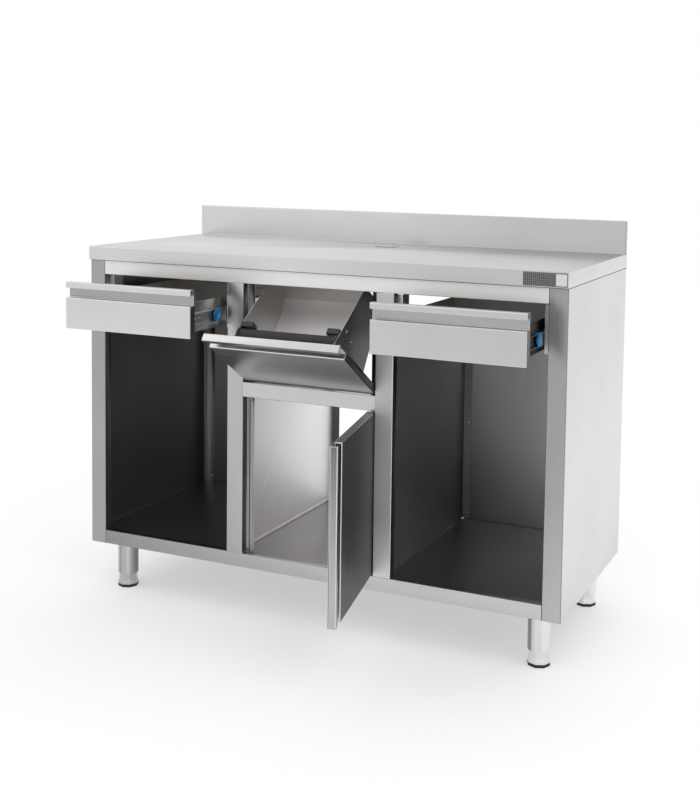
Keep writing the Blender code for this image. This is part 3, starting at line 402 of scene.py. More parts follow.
def frontOnly(centre, normal):    # front face, then the returns behind it
    return 0 if normal.y < -0.5 and centre.y < frontPlane + 0.003 else 1


def insideBox(node, outside, inside):    # faces that look at the middle of an open box
    low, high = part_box(node)
    middle = (low + high) / 2

    def rule(centre, normal):
        return inside if (middle - centre).dot(normal) > 0.0 else outside
    return rule


# painted light on the worktop's end faces, which take the lit side tone
worktop = softSheet("worktop", [steelTopShaded, foldLine, steelSideLit], wideFold,
                    lambda c, n: 2 if abs(n.x) > 0.9 else 0)
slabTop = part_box("worktop")[1].z - 0.088
for face in worktop.data.polygons:    # painted shade: dark line along the upright ends of the upstand
    if face.center.z > slabTop and 0.2 < abs(face.normal.x) < 0.97 and face.normal.y < -0.1:
        face.material_index = 1
for side, name in ((-1, "left"), (1, "right")):
    # painted light on the outer side, painted shade on the inner faces, posts, folds and rear flanges
    softSheet("side_panel_" + name, [steelSideLit, steelInnerShaded, steelPostShaded if side < 0 else rightPostShaded, foldLine,
                                     shadeSteel], {**sheetFold, "edgeSlot": 3}, insideOf(side))
    # painted light and shade on the centre posts' faces, painted shade on their returns
    softSheet("centre_post_" + name,
              [leftStileShaded if side < 0 else steelStileLit, steelFlangeShaded if side < 0 else shadeSteel, steelEdgeHighlight],
              {**sheetFold, "edgeSlot": 2}, frontOnly)
    # painted light on the partitions' middle-bay faces, painted shade on their side-bay faces and rear
    # flanges
    softSheet("partition_" + name, [satinWall, bayWall if side > 0 else steelInnerShaded, shadeSteel, steelZ],
              {"fold": 0.0005},
              lambda c, n, s=side: 1 if s * n.x > 0.5 else 2 if n.y < -0.5 else 3 if n.y > 0.5 else 0)
    # painted shade on the back panels' faces inside the bays
    softSheet("back_panel_" + name, [steelZ, bayBack if side > 0 else steelInnerShaded], {"fold": 0.0005},
              lambda c, n: 1 if n.y < -0.5 else 0)
for node, finish in (("top_front_rail", steelBeamLit), ("mid_rail", steelRailShaded),
                     ("bottom_front_rail", steelPlinthShaded), ("rear_top_rail", steelRailShaded)):
    softSheet(node, [finish], sheetFold)
softSheet("base_panel", [steelFloorShaded], sheetFold)


def shadeRightEnd(piece, edgeIndex, endIndex):    # painted shade: eased edges round the right end take the end's painted shade
    for face in piece.data.polygons:
        if face.material_index == edgeIndex and face.normal.x > 0.3:
            face.material_index = endIndex


for drawer in ("left_drawer", "right_drawer"):
    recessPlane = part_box(drawer + "_front")[0].y + 0.010
    # painted shade on the finger recess and the right ends of the fronts
    front = softSheet(drawer + "_front",
                      [steelX if drawer == "left_drawer" else steelTopShaded, steelEdgeHighlight, steelRecessShaded, shadeSteel],
                      frontFold,
              lambda c, n, y=recessPlane: 2 if n.y < -0.9 and y < c.y < y + 0.008 else 3 if n.x > 0.9 else 0)
    shadeRightEnd(front, 1, 3)
    # painted shade on the outside of the right drawer's box
    softSheet(drawer + "_box", [leftBoxShaded if drawer == "left_drawer" else shadeSteel, boxInsideLit],
              {"fold": 0.0005}, insideBox(drawer + "_box", 0, 1))
    for name in ("left", "right"):
        # painted shade on the right drawer's right slides
        shaded = drawer == "right_drawer" and name == "right"
        for part in ("_slide_inner_", "_slide_middle_"):
            softSheet(drawer + part + name, [shadeSteel if shaded else zinc, steelEdgeHighlight],
                      {"fold": 0.0007, "edgeSlot": 1})
# painted shade on the hopper front's ends
front = softSheet("hopper_front", [hopperFace, steelEdgeHighlight, shadeSteel, steelX],
                  {"fold": 0.0026, "segments": 4, "edgeSlot": 1},
          lambda c, n: 2 if abs(n.x) > 0.9 else 3 if n.dot(hopperUp) > 0.9 else 0)
shadeRightEnd(front, 1, 2)


def binRule(centre, normal):    # painted light and shade: side plates, back and floor of the bin each take their own lit or shaded tone
    if abs(normal.x) > 0.9:
        return 1 if centre.x * normal.x < 0.0 else 4
    if normal.dot(hopperBack) < -0.9:
        return 2
    return 3 if normal.dot(hopperUp) > 0.9 else 0


softSheet("hopper_bin", [steelBin, binWallShaded, binBackShaded, binFloorLit, shadeSteel, steelEdgeHighlight],
          {"fold": 0.0006, "edgeSlot": 5}, binRule)
doorAxis = 0.5 * (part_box("door_pivot_rod")[0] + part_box("door_pivot_rod")[1])
# painted light on the door's far end and edges
softSheet("door_skin", [steelDoorShaded, steelEdgeHighlight, steelStripLit], {"fold": 0.0022, "segments": 4, "edgeSlot": 1},
          lambda c, n: 2 if (c - doorAxis).to_2d().length > 0.334 or n.x < 0.5 else 0)
softSheet("door_liner", [steelZ], {"fold": 0.0004})
print("sheet pieces softened")


# turned and flat pieces

def rounded(points, radius, steps=3):    # closed outline with each corner turned on a small arc
    outline = []
    count = len(points)
    for index in range(count):
        corner = Vector(points[index])
        back = Vector(points[index - 1]) - corner
        ahead = Vector(points[(index + 1) % count]) - corner
        cutBack = min(radius, 0.45 * back.length, 0.45 * ahead.length)
        first, last = corner + back.normalized() * cutBack, corner + ahead.normalized() * cutBack
        for step in range(steps + 1):
            t = step / steps
            outline.append((1 - t) ** 2 * first + 2 * t * (1 - t) * corner + t * t * last)
    return [tuple(point) for point in outline]


def pieceFrom(mesh, name, finishes, replaced, body=None, smoothAngle=32.0):
    bmesh.ops.remove_doubles(mesh, verts=mesh.verts, dist=0.000005)
    bmesh.ops.recalc_face_normals(mesh, faces=mesh.faces)
    data = bpy.data.meshes.new(name)
    for face in mesh.faces:
        face.smooth = True
    mesh.to_mesh(data)
    mesh.free()
    data.set_sharp_from_angle(angle=radians(smoothAngle))
    for finish in finishes:
        data.materials.append(finish)
    piece = bpy.data.objects.new(name, data)
    bpy.context.scene.collection.objects.link(piece)
    if replaced:
        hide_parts(*replaced)
    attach(piece, body or bodyOf[replaced[0]])
    return piece


def addTurned(mesh, outline, centre, axis="z", count=64):    # outline of radius and place along the axis
    loops = []
    for index in range(count):
        turn = 2 * pi * index / count
        loop = []
        for radius, along in outline:
            a, b = centre[0] + radius * cos(turn), centre[1] + radius * sin(turn)
            loop.append(mesh.verts.new((a, b, along) if axis == "z" else (along, a, b)))
        loops.append(loop)
    for index, loop in enumerate(loops):
        other = loops[(index + 1) % count]
        for step in range(len(outline)):
            after = (step + 1) % len(outline)
            mesh.faces.new((loop[step], other[step], other[after], loop[after]))


def addRings(mesh, rings, slotIndex=0):    # solid over rings with the same number of points
    loops = [[mesh.verts.new(point) for point in ring] for ring in rings]
    faces = [mesh.faces.new(list(reversed(loops[0]))), mesh.faces.new(loops[-1])]
    for lower, upper in zip(loops, loops[1:]):
        for index in range(len(lower)):
            after = (index + 1) % len(lower)
            faces.append(mesh.faces.new((lower[index], lower[after], upper[after], upper[index])))
    for face in faces:
        face.material_index = slotIndex


def addBar(mesh, low, high, ease, slotIndex=0, axis=2, round2=0.0):    # block with eased edges
    others = [i for i in range(3) if i != axis]
    corners = [(low[others[0]], low[others[1]]), (high[others[0]], low[others[1]]),
               (high[others[0]], high[others[1]]), (low[others[0]], high[others[1]])]
    middle = [(low[i] + high[i]) / 2 for i in others]
    rings = []
    for along, inset in ((low[axis], ease), (low[axis] + ease, 0.0), (high[axis] - ease, 0.0),
                         (high[axis], ease)):
        ring = []
        for point in rounded(corners, max(round2, ease)):
            spot = [0.0, 0.0, 0.0]
            spot[axis] = along
            sizes = (corners[1][0] - corners[0][0], corners[2][1] - corners[1][1])
            for place, value, centre, size in zip(others, point, middle, sizes):
                spot[place] = centre + (value - centre) * (1 - 2 * inset / size)
            ring.append(tuple(spot))
        rings.append(ring)
    addRings(mesh, rings, slotIndex)


def world(x, y, z):    # carcass coordinates to the scene's
    return (x, y + frontPlane, z + carcassFoot)


foot = {"levels": ((0.0000, 0.0268), (0.0045, 0.0264), (0.0085, 0.0256), (0.0130, 0.0247), (0.0180, 0.0243),
                   (0.0302, 0.0240), (0.0317, 0.0240)),
        "cornerShare": 1.062, "padLip": 0.0005, "neck": 0.0254, "neckLift": 0.004, "seam": (-0.0016, 0.002)}
leg = {"tube": 0.029, "wall": 0.002, "flangeThick": 0.003, "round": 0.0008}


def setReflectionSweep(piece, centre, radius):    # 0 to 1 across the tube, left to right, for the painted reflections
    sweep = piece.data.attributes.new("sweep", "FLOAT", "POINT")
    values = []
    for vertex in piece.data.vertices:
        spot = vertex.co - Vector((*centre, 0.0))
        across = spot.x * 0.907 + spot.y * 0.420
        values.append(min(1.0, max(0.0, 0.5 + 0.5 * across / radius)))
    sweep.data.foreach_set("value", values)


def eightSided(centre, apothem, height, cap):
    ring = []
    for index in range(96):
        turn = 2 * pi * index / 96
        reach = min(apothem / cos((turn % (pi / 4)) - pi / 8), cap)
        ring.append((centre[0] + reach * cos(turn), centre[1] + reach * sin(turn), height))
    return ring


def makeLegs():
    for corner in ("front_left", "front_right", "rear_left", "rear_right"):
        low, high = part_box(corner + "_leg")
        centre = ((low.x + high.x) / 2, (low.y + high.y) / 2)
        flange, tube, bore = (high.x - low.x) / 2, leg["tube"], leg["tube"] - leg["wall"]
        onLeft = corner.endswith("left")
        # painted light and shade: left legs take the shaded copies, right legs the lit ones
        finish, footFinish = (shadedTube, shadedFoot) if onLeft else (brightTube, brightFoot)
        seat = high.z - leg["flangeThick"]
        mesh = bmesh.new()
        outline = [(bore, low.z), (tube, low.z), (tube, seat), (flange, seat), (flange, high.z),
                   (bore, high.z)]
        addTurned(mesh, rounded(outline, leg["round"]), centre)
        piece = pieceFrom(mesh, corner + "_leg_tube", [finish], [corner + "_leg"])
        setReflectionSweep(piece, centre, tube)

        tubeEnd = low.z
        low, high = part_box(corner + "_foot")
        padLow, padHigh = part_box(corner + "_foot_pad")
        share = foot["cornerShare"]
        mesh = bmesh.new()
        rings = [eightSided(centre, apothem, low.z + lift, apothem * share)
                 for lift, apothem in foot["levels"]]
        neck = foot["neck"]
        rings += [eightSided(centre, neck, height, neck) for height in (tubeEnd + foot["neckLift"], high.z)]
        addRings(mesh, rings)
        piece = pieceFrom(mesh, corner + "_foot_cast", [footFinish, steelFlangeShaded], [corner + "_foot"],
                          smoothAngle=14.0)
        for face in piece.data.polygons:    # painted shade along the seam under the tube
            if tubeEnd + foot["seam"][0] < face.center.z < tubeEnd + foot["seam"][1]:
                face.material_index = 1

        mesh = bmesh.new()
        apothem = foot["levels"][0][1] + foot["padLip"]
        rings = []
        for height, inset in ((padLow.z, 0.0012), (padLow.z + 0.0012, 0.0), (padHigh.z - 0.0008, 0.0),
                              (padHigh.z, 0.0008)):
            rings.append(eightSided(centre, apothem - inset, height, (apothem - inset) * share))
        addRings(mesh, rings)
        pieceFrom(mesh, corner + "_foot_rubber", [padRubber], [corner + "_foot_pad"], smoothAngle=14.0)


grommet = {"capDrop": 0.0008, "capThick": 0.0022, "notchWidth": 0.018, "notchDepth": 0.015}


def makeGrommet():
    low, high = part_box("cable_grommet")
    centre = ((low.x + high.x) / 2, (low.y + high.y) / 2)
    rim, top = (high.x - low.x) / 2, high.z
    mesh = bmesh.new()
    outer, bore, seat = 0.0297, 0.0272, top - 0.0027
    outline = [(bore, low.z), (outer, low.z), (outer, seat), (rim, seat), (rim, top - 0.0010),
               (rim - 0.0012, top), (bore, top)]
    addTurned(mesh, rounded(outline, 0.0005), centre, count=72)
    capTop = top - grommet["capDrop"]
    ring = []
    half = grommet["notchWidth"] / 2
    reach = bore - 0.0004
    for index in range(72):    # round lid with a cable notch on its right
        turn = 2 * pi * index / 72
        x, y = reach * cos(turn), reach * sin(turn)
        if x > 0.0 and abs(y) < half:
            notch = sqrt(max(0.0, 1 - (y / half) ** 2))
            bow = reach - sqrt(max(0.0, reach ** 2 - y * y))
            x = reach - grommet["notchDepth"] * notch - bow
        ring.append((x, y))
    rings = []
    for height, scale in ((capTop - grommet["capThick"], 1.0), (capTop - 0.0005, 1.0), (capTop, 0.985)):
        rings.append([(centre[0] + x * scale, centre[1] + y * scale, height) for x, y in ring])
    addRings(mesh, rings)
    pieceFrom(mesh, "cable_grommet_lid", [greyNylon], ["cable_grommet"])


def makePlate():
    low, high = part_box("blank_plate")
    mesh = bmesh.new()
    addBar(mesh, low, high, 0.0004, 0, axis=1, round2=0.0015)
    fieldLow = Vector((high.x - 0.0285, low.y - 0.0003, low.z + 0.0025))
    fieldHigh = Vector((high.x - 0.0022, low.y + 0.0004, high.z - 0.0025))
    addBar(mesh, fieldLow, fieldHigh, 0.0001, 1, axis=1, round2=0.0010)
    pieceFrom(mesh, "blank_plate_face", [plateField, plateEnamel], ["blank_plate"])


knockBlock = {"gap": 0.0004, "round": 0.0015,
              "steps": ((0.034, (0.0205, 0.0350), (-0.012, 0.010)),
                        (0.039, (0.0208, 0.0290), (-0.010, 0.002)))}


def makeKnockBar():
    low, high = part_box("knock_bar_sleeve")
    centre = ((low.y + high.y) / 2, (low.z + high.z) / 2)
    radius = (high.z - low.z) / 2
    mesh = bmesh.new()
    outline = [(0.0083, low.x), (radius, low.x), (radius, high.x), (0.0083, high.x)]
    addTurned(mesh, rounded(outline, 0.0022, 4), centre, axis="x", count=56)
    pieceFrom(mesh, "knock_bar_rubber", [barRubber], ["knock_bar_sleeve"])
    low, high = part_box("knock_bar")
    reach = (high.z - low.z) / 2
    mesh = bmesh.new()
    outline = [(0.0001, low.x), (reach, low.x), (reach, low.x + 0.005), (0.008, low.x + 0.005),
               (0.008, high.x - 0.005), (reach, high.x - 0.005), (reach, high.x), (0.0001, high.x)]
    addTurned(mesh, rounded(outline, 0.0010), centre, axis="x", count=56)
    pieceFrom(mesh, "knock_bar_core", [blackNylon], ["knock_bar"])
    axis = Vector((0.0, *centre))
    for side, name in ((-1, "left"), (1, "right")):    # block behind each end of the bar
        end = (low.x if side < 0 else high.x) - side * knockBlock["gap"]
        mesh = bmesh.new()
        for length, back, up in knockBlock["steps"]:
            rings = []
            corners = rounded([(back[0], up[0]), (back[1], up[0]), (back[1], up[1]), (back[0], up[1])],
                              knockBlock["round"])
            xs = (end, end - side * 0.001, end - side * (length - 0.001), end - side * length)
            for x, inset in zip(xs, (0.001, 0.0, 0.0, 0.001)):
                ring = []
                for n, h in corners:
                    n -= inset * (1 if n > sum(back) / 2 else -1)
                    h -= inset * (1 if h > sum(up) / 2 else -1)
                    ring.append(tuple(axis + hopperBack * n + hopperUp * h + Vector((x, 0.0, 0.0))))
                rings.append(ring)
            addRings(mesh, rings)
        pieceFrom(mesh, "knock_bar_block_" + name, [blackNylon], [], "hopper")


clip = {"rim": 0.0162, "dish": 0.0098, "dishDepth": 0.0048, "boss": 0.0044, "flangeDepth": 0.0092,
        "wall": 0.0012}


def makeClips():
    wall = clip["wall"]
    for drawer in ("left_drawer", "right_drawer"):
        for side, name in ((-1, "left"), (1, "right")):
            node = drawer + "_slide_clip_" + name
            low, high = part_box(node)
            middle = (low + high) / 2
            face = high.x if side > 0 else low.x    # web side, away from the drawer

            def across(depth):
                return face - side * depth
            mesh = bmesh.new()
            outline = [(0.0002, 0.0012), (clip["boss"], 0.0012), (clip["boss"] + 0.0005, clip["dishDepth"]),
                       (clip["dish"], clip["dishDepth"]), (clip["dish"] + 0.0026, 0.0), (clip["rim"], 0.0),
                       (clip["rim"], wall), (clip["dish"] + 0.0036, wall), (clip["dish"] + 0.0012, 0.0060),
                       (0.0002, 0.0060)]
            outline = [(radius, across(depth)) for radius, depth in rounded(outline, 0.0006)]
            addTurned(mesh, outline, (middle.y, middle.z), axis="x", count=48)
            for edge in (-1, 1):    # flanges that snap over the slide
                zs = sorted((middle.z + edge * (high.z - low.z) / 2,
                             middle.z + edge * ((high.z - low.z) / 2 - wall)))
                xs = sorted((across(0.0006), across(clip["flangeDepth"])))
                addBar(mesh, (xs[0], low.y, zs[0]), (xs[1], high.y, zs[1]), 0.0003, axis=1)
            piece = pieceFrom(mesh, node + "_lever", [clipBlue, blackNylon], [node])
            for spot in piece.data.polygons:    # painted shade: black nylon finish in the front half of the dish
                away = (Vector(spot.center) - middle).yz
                if clip["boss"] < away.length < clip["dish"] + 0.002 and away.x < -0.001:
                    spot.material_index = 1


def makeTrim():
    # painted shade: dark strip where the worktop sits on the carcass
    mesh = bmesh.new()
    half, out, depth = 0.690, 0.0007, 0.588
    plan = [(-half - out, depth), (-half - out, -out), (half + out, -out), (half + out, depth),
            (half - 0.0005, depth), (half - 0.0005, 0.0005), (-half + 0.0005, 0.0005),
            (-half + 0.0005, depth)]
    rings = [[world(x, y, z) for x, y in plan] for z in (0.8080, 0.8098)]
    addRings(mesh, rings)
    pieceFrom(mesh, "worktop_seal_bead", [seamSeal], [], "carcass")

    # skirting of the middle bay and a dark strip of painted shade along the gap on the door's stop flanges
    for side, name in ((-1, "left"), (1, "right")):
        face = side * 0.2174
        mesh = bmesh.new()
        xs = sorted((face, face - side * 0.0011))
        addBar(mesh, world(xs[0], 0.0300, 0.0335), world(xs[1], 0.5860, 0.0400), 0.0004, axis=1)
        pieceFrom(mesh, "partition_skirt_" + name, [satinWall], [], "carcass")
        mesh = bmesh.new()
        xs = sorted((side * 0.1862, side * 0.1838))
        addBar(mesh, world(xs[0], 0.0230, 0.0390), world(xs[1], 0.0240, 0.4650), 0.0003)
        pieceFrom(mesh, "door_stop_bead_" + name, [seamSeal], [], "carcass")


def fastenerTree(name, cross):    # heads on points, square to each point's facing
    tree = bpy.data.node_groups.new(name, "GeometryNodeTree")
    tree.interface.new_socket("Geometry", in_out="OUTPUT", socket_type="NodeSocketGeometry")
    tree.interface.new_socket("Geometry", in_out="INPUT", socket_type="NodeSocketGeometry")
    tree.interface.new_socket("Head radius", in_out="INPUT", socket_type="NodeSocketFloat")
    tree.interface.new_socket("Head height", in_out="INPUT", socket_type="NodeSocketFloat")
    tree.interface.new_socket("Head finish", in_out="INPUT", socket_type="NodeSocketMaterial")
    given = addNode(tree, "NodeGroupInput")
    done = addNode(tree, "NodeGroupOutput")
    size = addNode(tree, "ShaderNodeCombineXYZ")
    for axis, source in (("X", "Head radius"), ("Y", "Head radius"), ("Z", "Head height")):
        tree.links.new(given.outputs[source], size.inputs[axis])
    if cross:
        head = addNode(tree, "GeometryNodeMeshCone",
                       {"Vertices": 24, "Radius Top": 0.72, "Radius Bottom": 1.0, "Depth": 1.0})
        slots = addNode(tree, "GeometryNodeJoinGeometry")
        for size3 in ((1.1, 0.22, 0.9), (0.22, 1.1, 0.9)):
            bar = addNode(tree, "GeometryNodeMeshCube", {"Size": size3})
            lift = addNode(tree, "GeometryNodeTransform", {"Translation": (0.0, 0.0, 1.0)})
            tree.links.new(bar.outputs["Mesh"], lift.inputs["Geometry"])
            tree.links.new(lift.outputs["Geometry"], slots.inputs["Geometry"])
        cutter = addNode(tree, "GeometryNodeMeshBoolean", operation="DIFFERENCE")
        tree.links.new(head.outputs["Mesh"], cutter.inputs["Mesh 1"])
        tree.links.new(slots.outputs["Geometry"], cutter.inputs["Mesh 2"])
        shape = cutter.outputs["Mesh"]
    else:
        head = addNode(tree, "GeometryNodeMeshUVSphere", {"Segments": 20, "Rings": 10, "Radius": 1.0})
        shape = head.outputs["Mesh"]
    sized = addNode(tree, "GeometryNodeTransform")
    tree.links.new(shape, sized.inputs["Geometry"])
    tree.links.new(size.outputs["Vector"], sized.inputs["Scale"])
    facing = addNode(tree, "GeometryNodeInputNamedAttribute", {"Name": "facing"}, data_type="FLOAT_VECTOR")
    turned = addNode(tree, "FunctionNodeAlignRotationToVector", axis="Z")
    tree.links.new(facing.outputs["Attribute"], turned.inputs["Vector"])
    placed = addNode(tree, "GeometryNodeInstanceOnPoints")
    tree.links.new(given.outputs["Geometry"], placed.inputs["Points"])
    tree.links.new(sized.outputs["Geometry"], placed.inputs["Instance"])
    tree.links.new(turned.outputs["Rotation"], placed.inputs["Rotation"])
    real = addNode(tree, "GeometryNodeRealizeInstances")
    finish = addNode(tree, "GeometryNodeSetMaterial")
    tree.links.new(placed.outputs["Instances"], real.inputs["Geometry"])
    tree.links.new(real.outputs["Geometry"], finish.inputs["Geometry"])
    tree.links.new(given.outputs["Head finish"], finish.inputs["Material"])
    tree.links.new(finish.outputs["Geometry"], done.inputs["Geometry"])
    return tree


def fastenerSet(name, tree, spots, settings, body):
    data = bpy.data.meshes.new(name + "_points")
    data.from_pydata([spot for spot, facing in spots], [], [])
    facingData = data.attributes.new("facing", "FLOAT_VECTOR", "POINT")
    facingData.data.foreach_set("vector", [value for spot, facing in spots for value in facing])
    raw = bpy.data.objects.new(name + "_points", data)
    bpy.context.scene.collection.objects.link(raw)
    modifier = raw.modifiers.new("heads", "NODES")
    modifier.node_group = tree
    sockets = {item.name: item.identifier for item in tree.interface.items_tree if item.in_out == "INPUT"}
    modifier[sockets["Head radius"]] = settings["radius"]
    modifier[sockets["Head height"]] = settings["height"]
    modifier[sockets["Head finish"]] = settings["finish"]
    piece = keepMesh(raw, name, [], body)
    for polygon in piece.data.polygons:
        polygon.use_smooth = True
    piece.data.set_sharp_from_angle(angle=radians(35))
    return piece


def makeFasteners():
    rivet = fastenerTree("rivetHeads", False)
    screw = fastenerTree("crossScrewHeads", True)
    rivetSize = {"radius": 0.0032, "height": 0.0016, "finish": steelLeg}
    screwSize = {"radius": 0.0034, "height": 0.0016, "finish": shadeSteel}
    spots = []
    for side in (-1, 1):
        for z in (0.051, 0.324, 0.597):    # through the side panels' and partitions' rear flanges
            for x in (0.6580, 0.2330):
                spots.append((world(side * x, 0.5887, z), (0.0, -1.0, 0.0)))
                spots.append((world(side * x, 0.5916, z), (0.0, 1.0, 0.0)))
    fastenerSet("back_rivets", rivet, spots, rivetSize, "carcass")

    spots = []
    for side in (-1, 1):
        for z in (0.0547, 0.4522):
            spots.append((world(side * 0.1776, 0.0237, z), (0.0, -1.0, 0.0)))
    fastenerSet("stop_flange_screws", screw, spots, screwSize, "carcass")

    spots = []
    for side in (-1, 1):
        for y in (0.2026, 0.4689):
            spots.append((world(side * 0.2163, y, 0.0366), (-side, 0.0, 0.0)))
    fastenerSet("skirt_screws", screw, spots, {**screwSize, "height": 0.0014}, "carcass")

    tilt = hopperTilt
    pivotInset, pivotHeight = 0.006, 0.515    # the hopper's pivot behind the front and above the carcass foot
    spots = []
    for back, height in ((0.102, 0.151), (0.0905, 0.1135)):
        y, z = back - pivotInset, height - pivotInset
        place = (pivotInset + y * cos(tilt) - z * sin(tilt), pivotHeight + y * sin(tilt) + z * cos(tilt))
        for side in (-1, 1):
            spots.append((world(side * 0.1421, *place), (side, 0.0, 0.0)))
    fastenerSet("hopper_rivets", rivet, spots, rivetSize, "hopper")

    slideScrew = {"radius": 0.0036, "height": 0.0011, "finish": zinc}
    for drawer in ("left_drawer", "right_drawer"):
        spots = []
        for side, name in ((-1, "left"), (1, "right")):
            low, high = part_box(drawer + "_slide_inner_" + name)
            web = (low.x if side > 0 else high.x) + side * 0.0012
            middle = (low.z + high.z) / 2
            for along in (0.150, 0.300):
                spots.append(((web, low.y + along, middle), (side, 0.0, 0.0)))
            mesh = bmesh.new()
            xs = sorted((web, web + side * 0.0007))
            for along in (0.014, 0.031):
                addBar(mesh, (xs[0], low.y + along, middle - 0.0032),
                       (xs[1], low.y + along + 0.0135, middle + 0.0032), 0.0003, axis=0, round2=0.002)
            pieceFrom(mesh, drawer + "_slide_pressing_" + name, [steelEdgeHighlight], [], drawer)
        fastenerSet(drawer + "_slide_screws", screw, spots, slideScrew, drawer)


# painted shade: dark strips standing in for shadow lines
seamSeal = mouldedPlastic("seamSeal", (0.035, 0.034, 0.033), (0.024, 0.023, 0.022), (0.55, 0.7), 300.0,
                          0.05)
plateEnamel = mouldedPlastic("paleEnamel", (0.78, 0.78, 0.79), (0.72, 0.72, 0.73), (0.35, 0.45), 900.0,
                             0.02)


def knurledField(name, light, dark):
    finish, tree, shader = newFinish(name, 0.6, 0.4, light)
    checks = addNode(tree, "ShaderNodeTexChecker", {"Scale": 300.0})
    tree.links.new(mappedCoords(tree, (1.0, 1.0, 1.0), (0.0, radians(45), 0.0)), checks.inputs["Vector"])
    tree.links.new(blended(tree, checks.outputs["Fac"], light, dark), shader.inputs["Base Color"])
    tree.links.new(ranged(tree, noiseAt(tree, (400.0, 400.0, 400.0), 3.0), 0.34, 0.48),
                   shader.inputs["Roughness"])
    raised(tree, shader, checks.outputs["Fac"], 0.25, 0.0002)
    return finish


plateField = knurledField("knurledField", (0.24, 0.232, 0.228), (0.055, 0.053, 0.052))
makeLegs()
makeGrommet()
makePlate()
makeKnockBar()
makeClips()
makeTrim()
makeFasteners()
print("small pieces made")

# carried-over nodes
nodeFinishes = {
    "worktop_core": board, "cable_grommet": greyNylon, "blank_plate": plateSatin, "knock_bar": blackNylon,
    "knock_bar_sleeve": barRubber, "hopper_pivot_rod": zinc, "door_pivot_rod": zinc,
    "door_pivot_bush": blackNylon, "door_catch": blackNylon,
}
for name, node in nodes.items():
    finish = nodeFinishes.get(name)
    if finish is None:
        if "_clip_" in name:
            finish = clipBlue
        elif "carrier" in name or "slide" in name:
            finish = zinc
        elif name.endswith("_pad"):
            finish = padRubber
        elif name.endswith(("_leg", "_foot")):
            finish = steelLeg
        else:
            finish = steelX
    node.data.materials.clear()
    node.data.materials.append(finish)
print("carried-over nodes finished")


# studio

studio = {"floorSize": 14.0, "floorTone": 0.62, "floorLift": 0.41, "worldLevel": 0.95, "keyPower": 24.0,
          "fillPower": 6.0}


def seenDirectly(tree):    # camera, glossy and transmission rays
    path = addNode(tree, "ShaderNodeLightPath")
    first = addNode(tree, "ShaderNodeMath", operation="ADD", use_clamp=True)
    second = addNode(tree, "ShaderNodeMath", operation="ADD", use_clamp=True)
    tree.links.new(path.outputs["Is Camera Ray"], first.inputs[0])
    tree.links.new(path.outputs["Is Glossy Ray"], first.inputs[1])
    tree.links.new(first.outputs[0], second.inputs[0])
    tree.links.new(path.outputs["Is Transmission Ray"], second.inputs[1])
    return second.outputs[0]


def makeFloor():
    mesh = bmesh.new()
    bmesh.ops.create_grid(mesh, x_segments=8, y_segments=8, size=studio["floorSize"])
    data = bpy.data.meshes.new("studioFloor")
    mesh.to_mesh(data)
    mesh.free()
    floor = bpy.data.objects.new("studioFloor", data)
    bpy.context.scene.collection.objects.link(floor)
    finish, tree, shader = newFinish("studioPaper", 0.0, 0.9, (studio["floorTone"],) * 3)
    shader.inputs["Specular IOR Level"].default_value = 0.0
    light = addNode(tree, "ShaderNodeEmission", {"Strength": studio["floorLift"]})
    nothing = addNode(tree, "ShaderNodeEmission", {"Strength": 0.0})
    pick = addNode(tree, "ShaderNodeMixShader")
    both = addNode(tree, "ShaderNodeAddShader")
    tree.links.new(seenDirectly(tree), pick.inputs[0])
    tree.links.new(nothing.outputs[0], pick.inputs[1])
    tree.links.new(light.outputs[0], pick.inputs[2])
    tree.links.new(shader.outputs[0], both.inputs[0])
    tree.links.new(pick.outputs[0], both.inputs[1])
    tree.links.new(both.outputs[0], tree.nodes["Material Output"].inputs["Surface"])
    data.materials.append(finish)


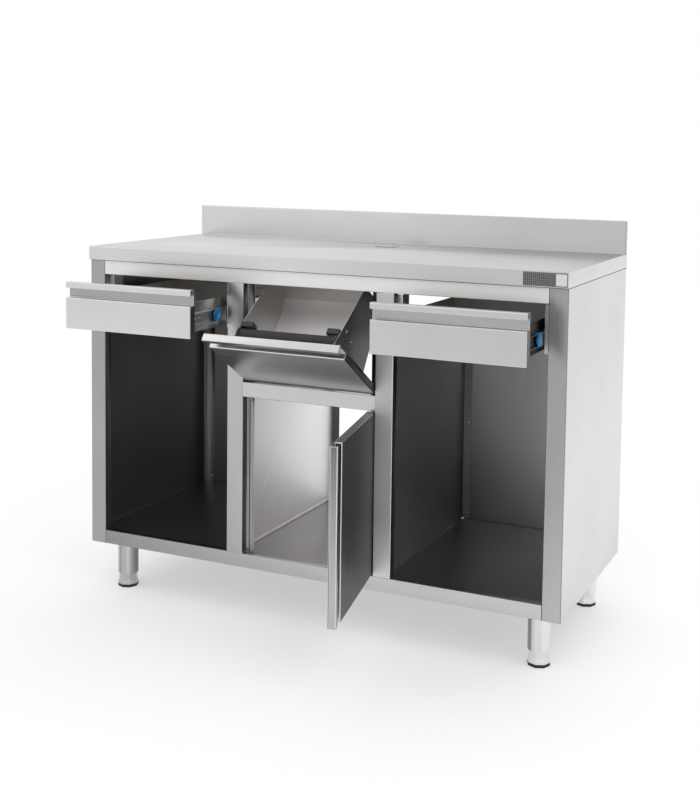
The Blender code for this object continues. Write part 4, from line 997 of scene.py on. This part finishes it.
def makeWorld():
    world = bpy.data.worlds.new("studioWorld")
    bpy.context.scene.world = world
    world.use_nodes = True
    tree = world.node_tree
    soft = tree.nodes["Background"]
    soft.inputs["Color"].default_value = (1.0, 1.0, 1.0, 1.0)
    soft.inputs["Strength"].default_value = studio["worldLevel"]
    white = addNode(tree, "ShaderNodeBackground")
    white.inputs["Color"].default_value = (1.0, 1.0, 1.0, 1.0)
    white.inputs["Strength"].default_value = 1.0
    pick = addNode(tree, "ShaderNodeMixShader")
    tree.links.new(seenDirectly(tree), pick.inputs[0])
    tree.links.new(soft.outputs[0], pick.inputs[1])
    tree.links.new(white.outputs[0], pick.inputs[2])
    tree.links.new(pick.outputs[0], tree.nodes["World Output"].inputs["Surface"])


def makeLamp(name, place, target, size, power):
    data = bpy.data.lights.new(name, "AREA")
    data.shape = "DISK"
    data.size = size
    data.energy = power
    lamp = bpy.data.objects.new(name, data)
    bpy.context.scene.collection.objects.link(lamp)
    lamp.location = place
    lamp.rotation_euler = (Vector(target) - Vector(place)).to_track_quat("-Z", "Y").to_euler()


makeFloor()
makeWorld()
makeLamp("keyLamp", (2.6, -1.6, 3.4), (0.0, 0.0, 0.5), 2.4, studio["keyPower"])
makeLamp("fillLamp", (-2.8, -2.4, 2.6), (0.0, 0.0, 0.5), 2.4, studio["fillPower"])
bpy.context.scene.view_settings.view_transform = "Standard"

view = {
    "focal": 1214.376, "centre": (377.379, 240.0), "yaw": 0.425645, "pitch": 0.075057, "roll": 0.014180,
    "place": (1.448758, -2.768031, 1.130809),
}


def makeCamera():
    yaw, pitch, roll = view["yaw"], view["pitch"], view["roll"]
    ahead = Vector((-sin(yaw) * cos(pitch), cos(yaw) * cos(pitch), -sin(pitch)))
    level = Vector((cos(yaw), sin(yaw), 0.0))
    upright = level.cross(ahead)
    right = cos(roll) * level + sin(roll) * upright
    up = cos(roll) * upright - sin(roll) * level
    data = bpy.data.cameras.new("photoCamera")
    data.sensor_width = 36.0
    data.lens = 36.0 * view["focal"] / 800.0    # image taken as 700 x 800
    data.shift_x = (350.0 - view["centre"][0]) / 800.0
    data.shift_y = (view["centre"][1] - 400.0) / 800.0
    camera = bpy.data.objects.new("photoCamera", data)
    bpy.context.scene.collection.objects.link(camera)
    turn = Matrix((right, up, -ahead)).transposed().to_4x4()
    place = Vector(view["place"]) + Vector((0.0, frontPlane, carcassFoot))
    camera.matrix_world = Matrix.Translation(place) @ turn
    bpy.context.scene.camera = camera


makeCamera()
print("studio ready")
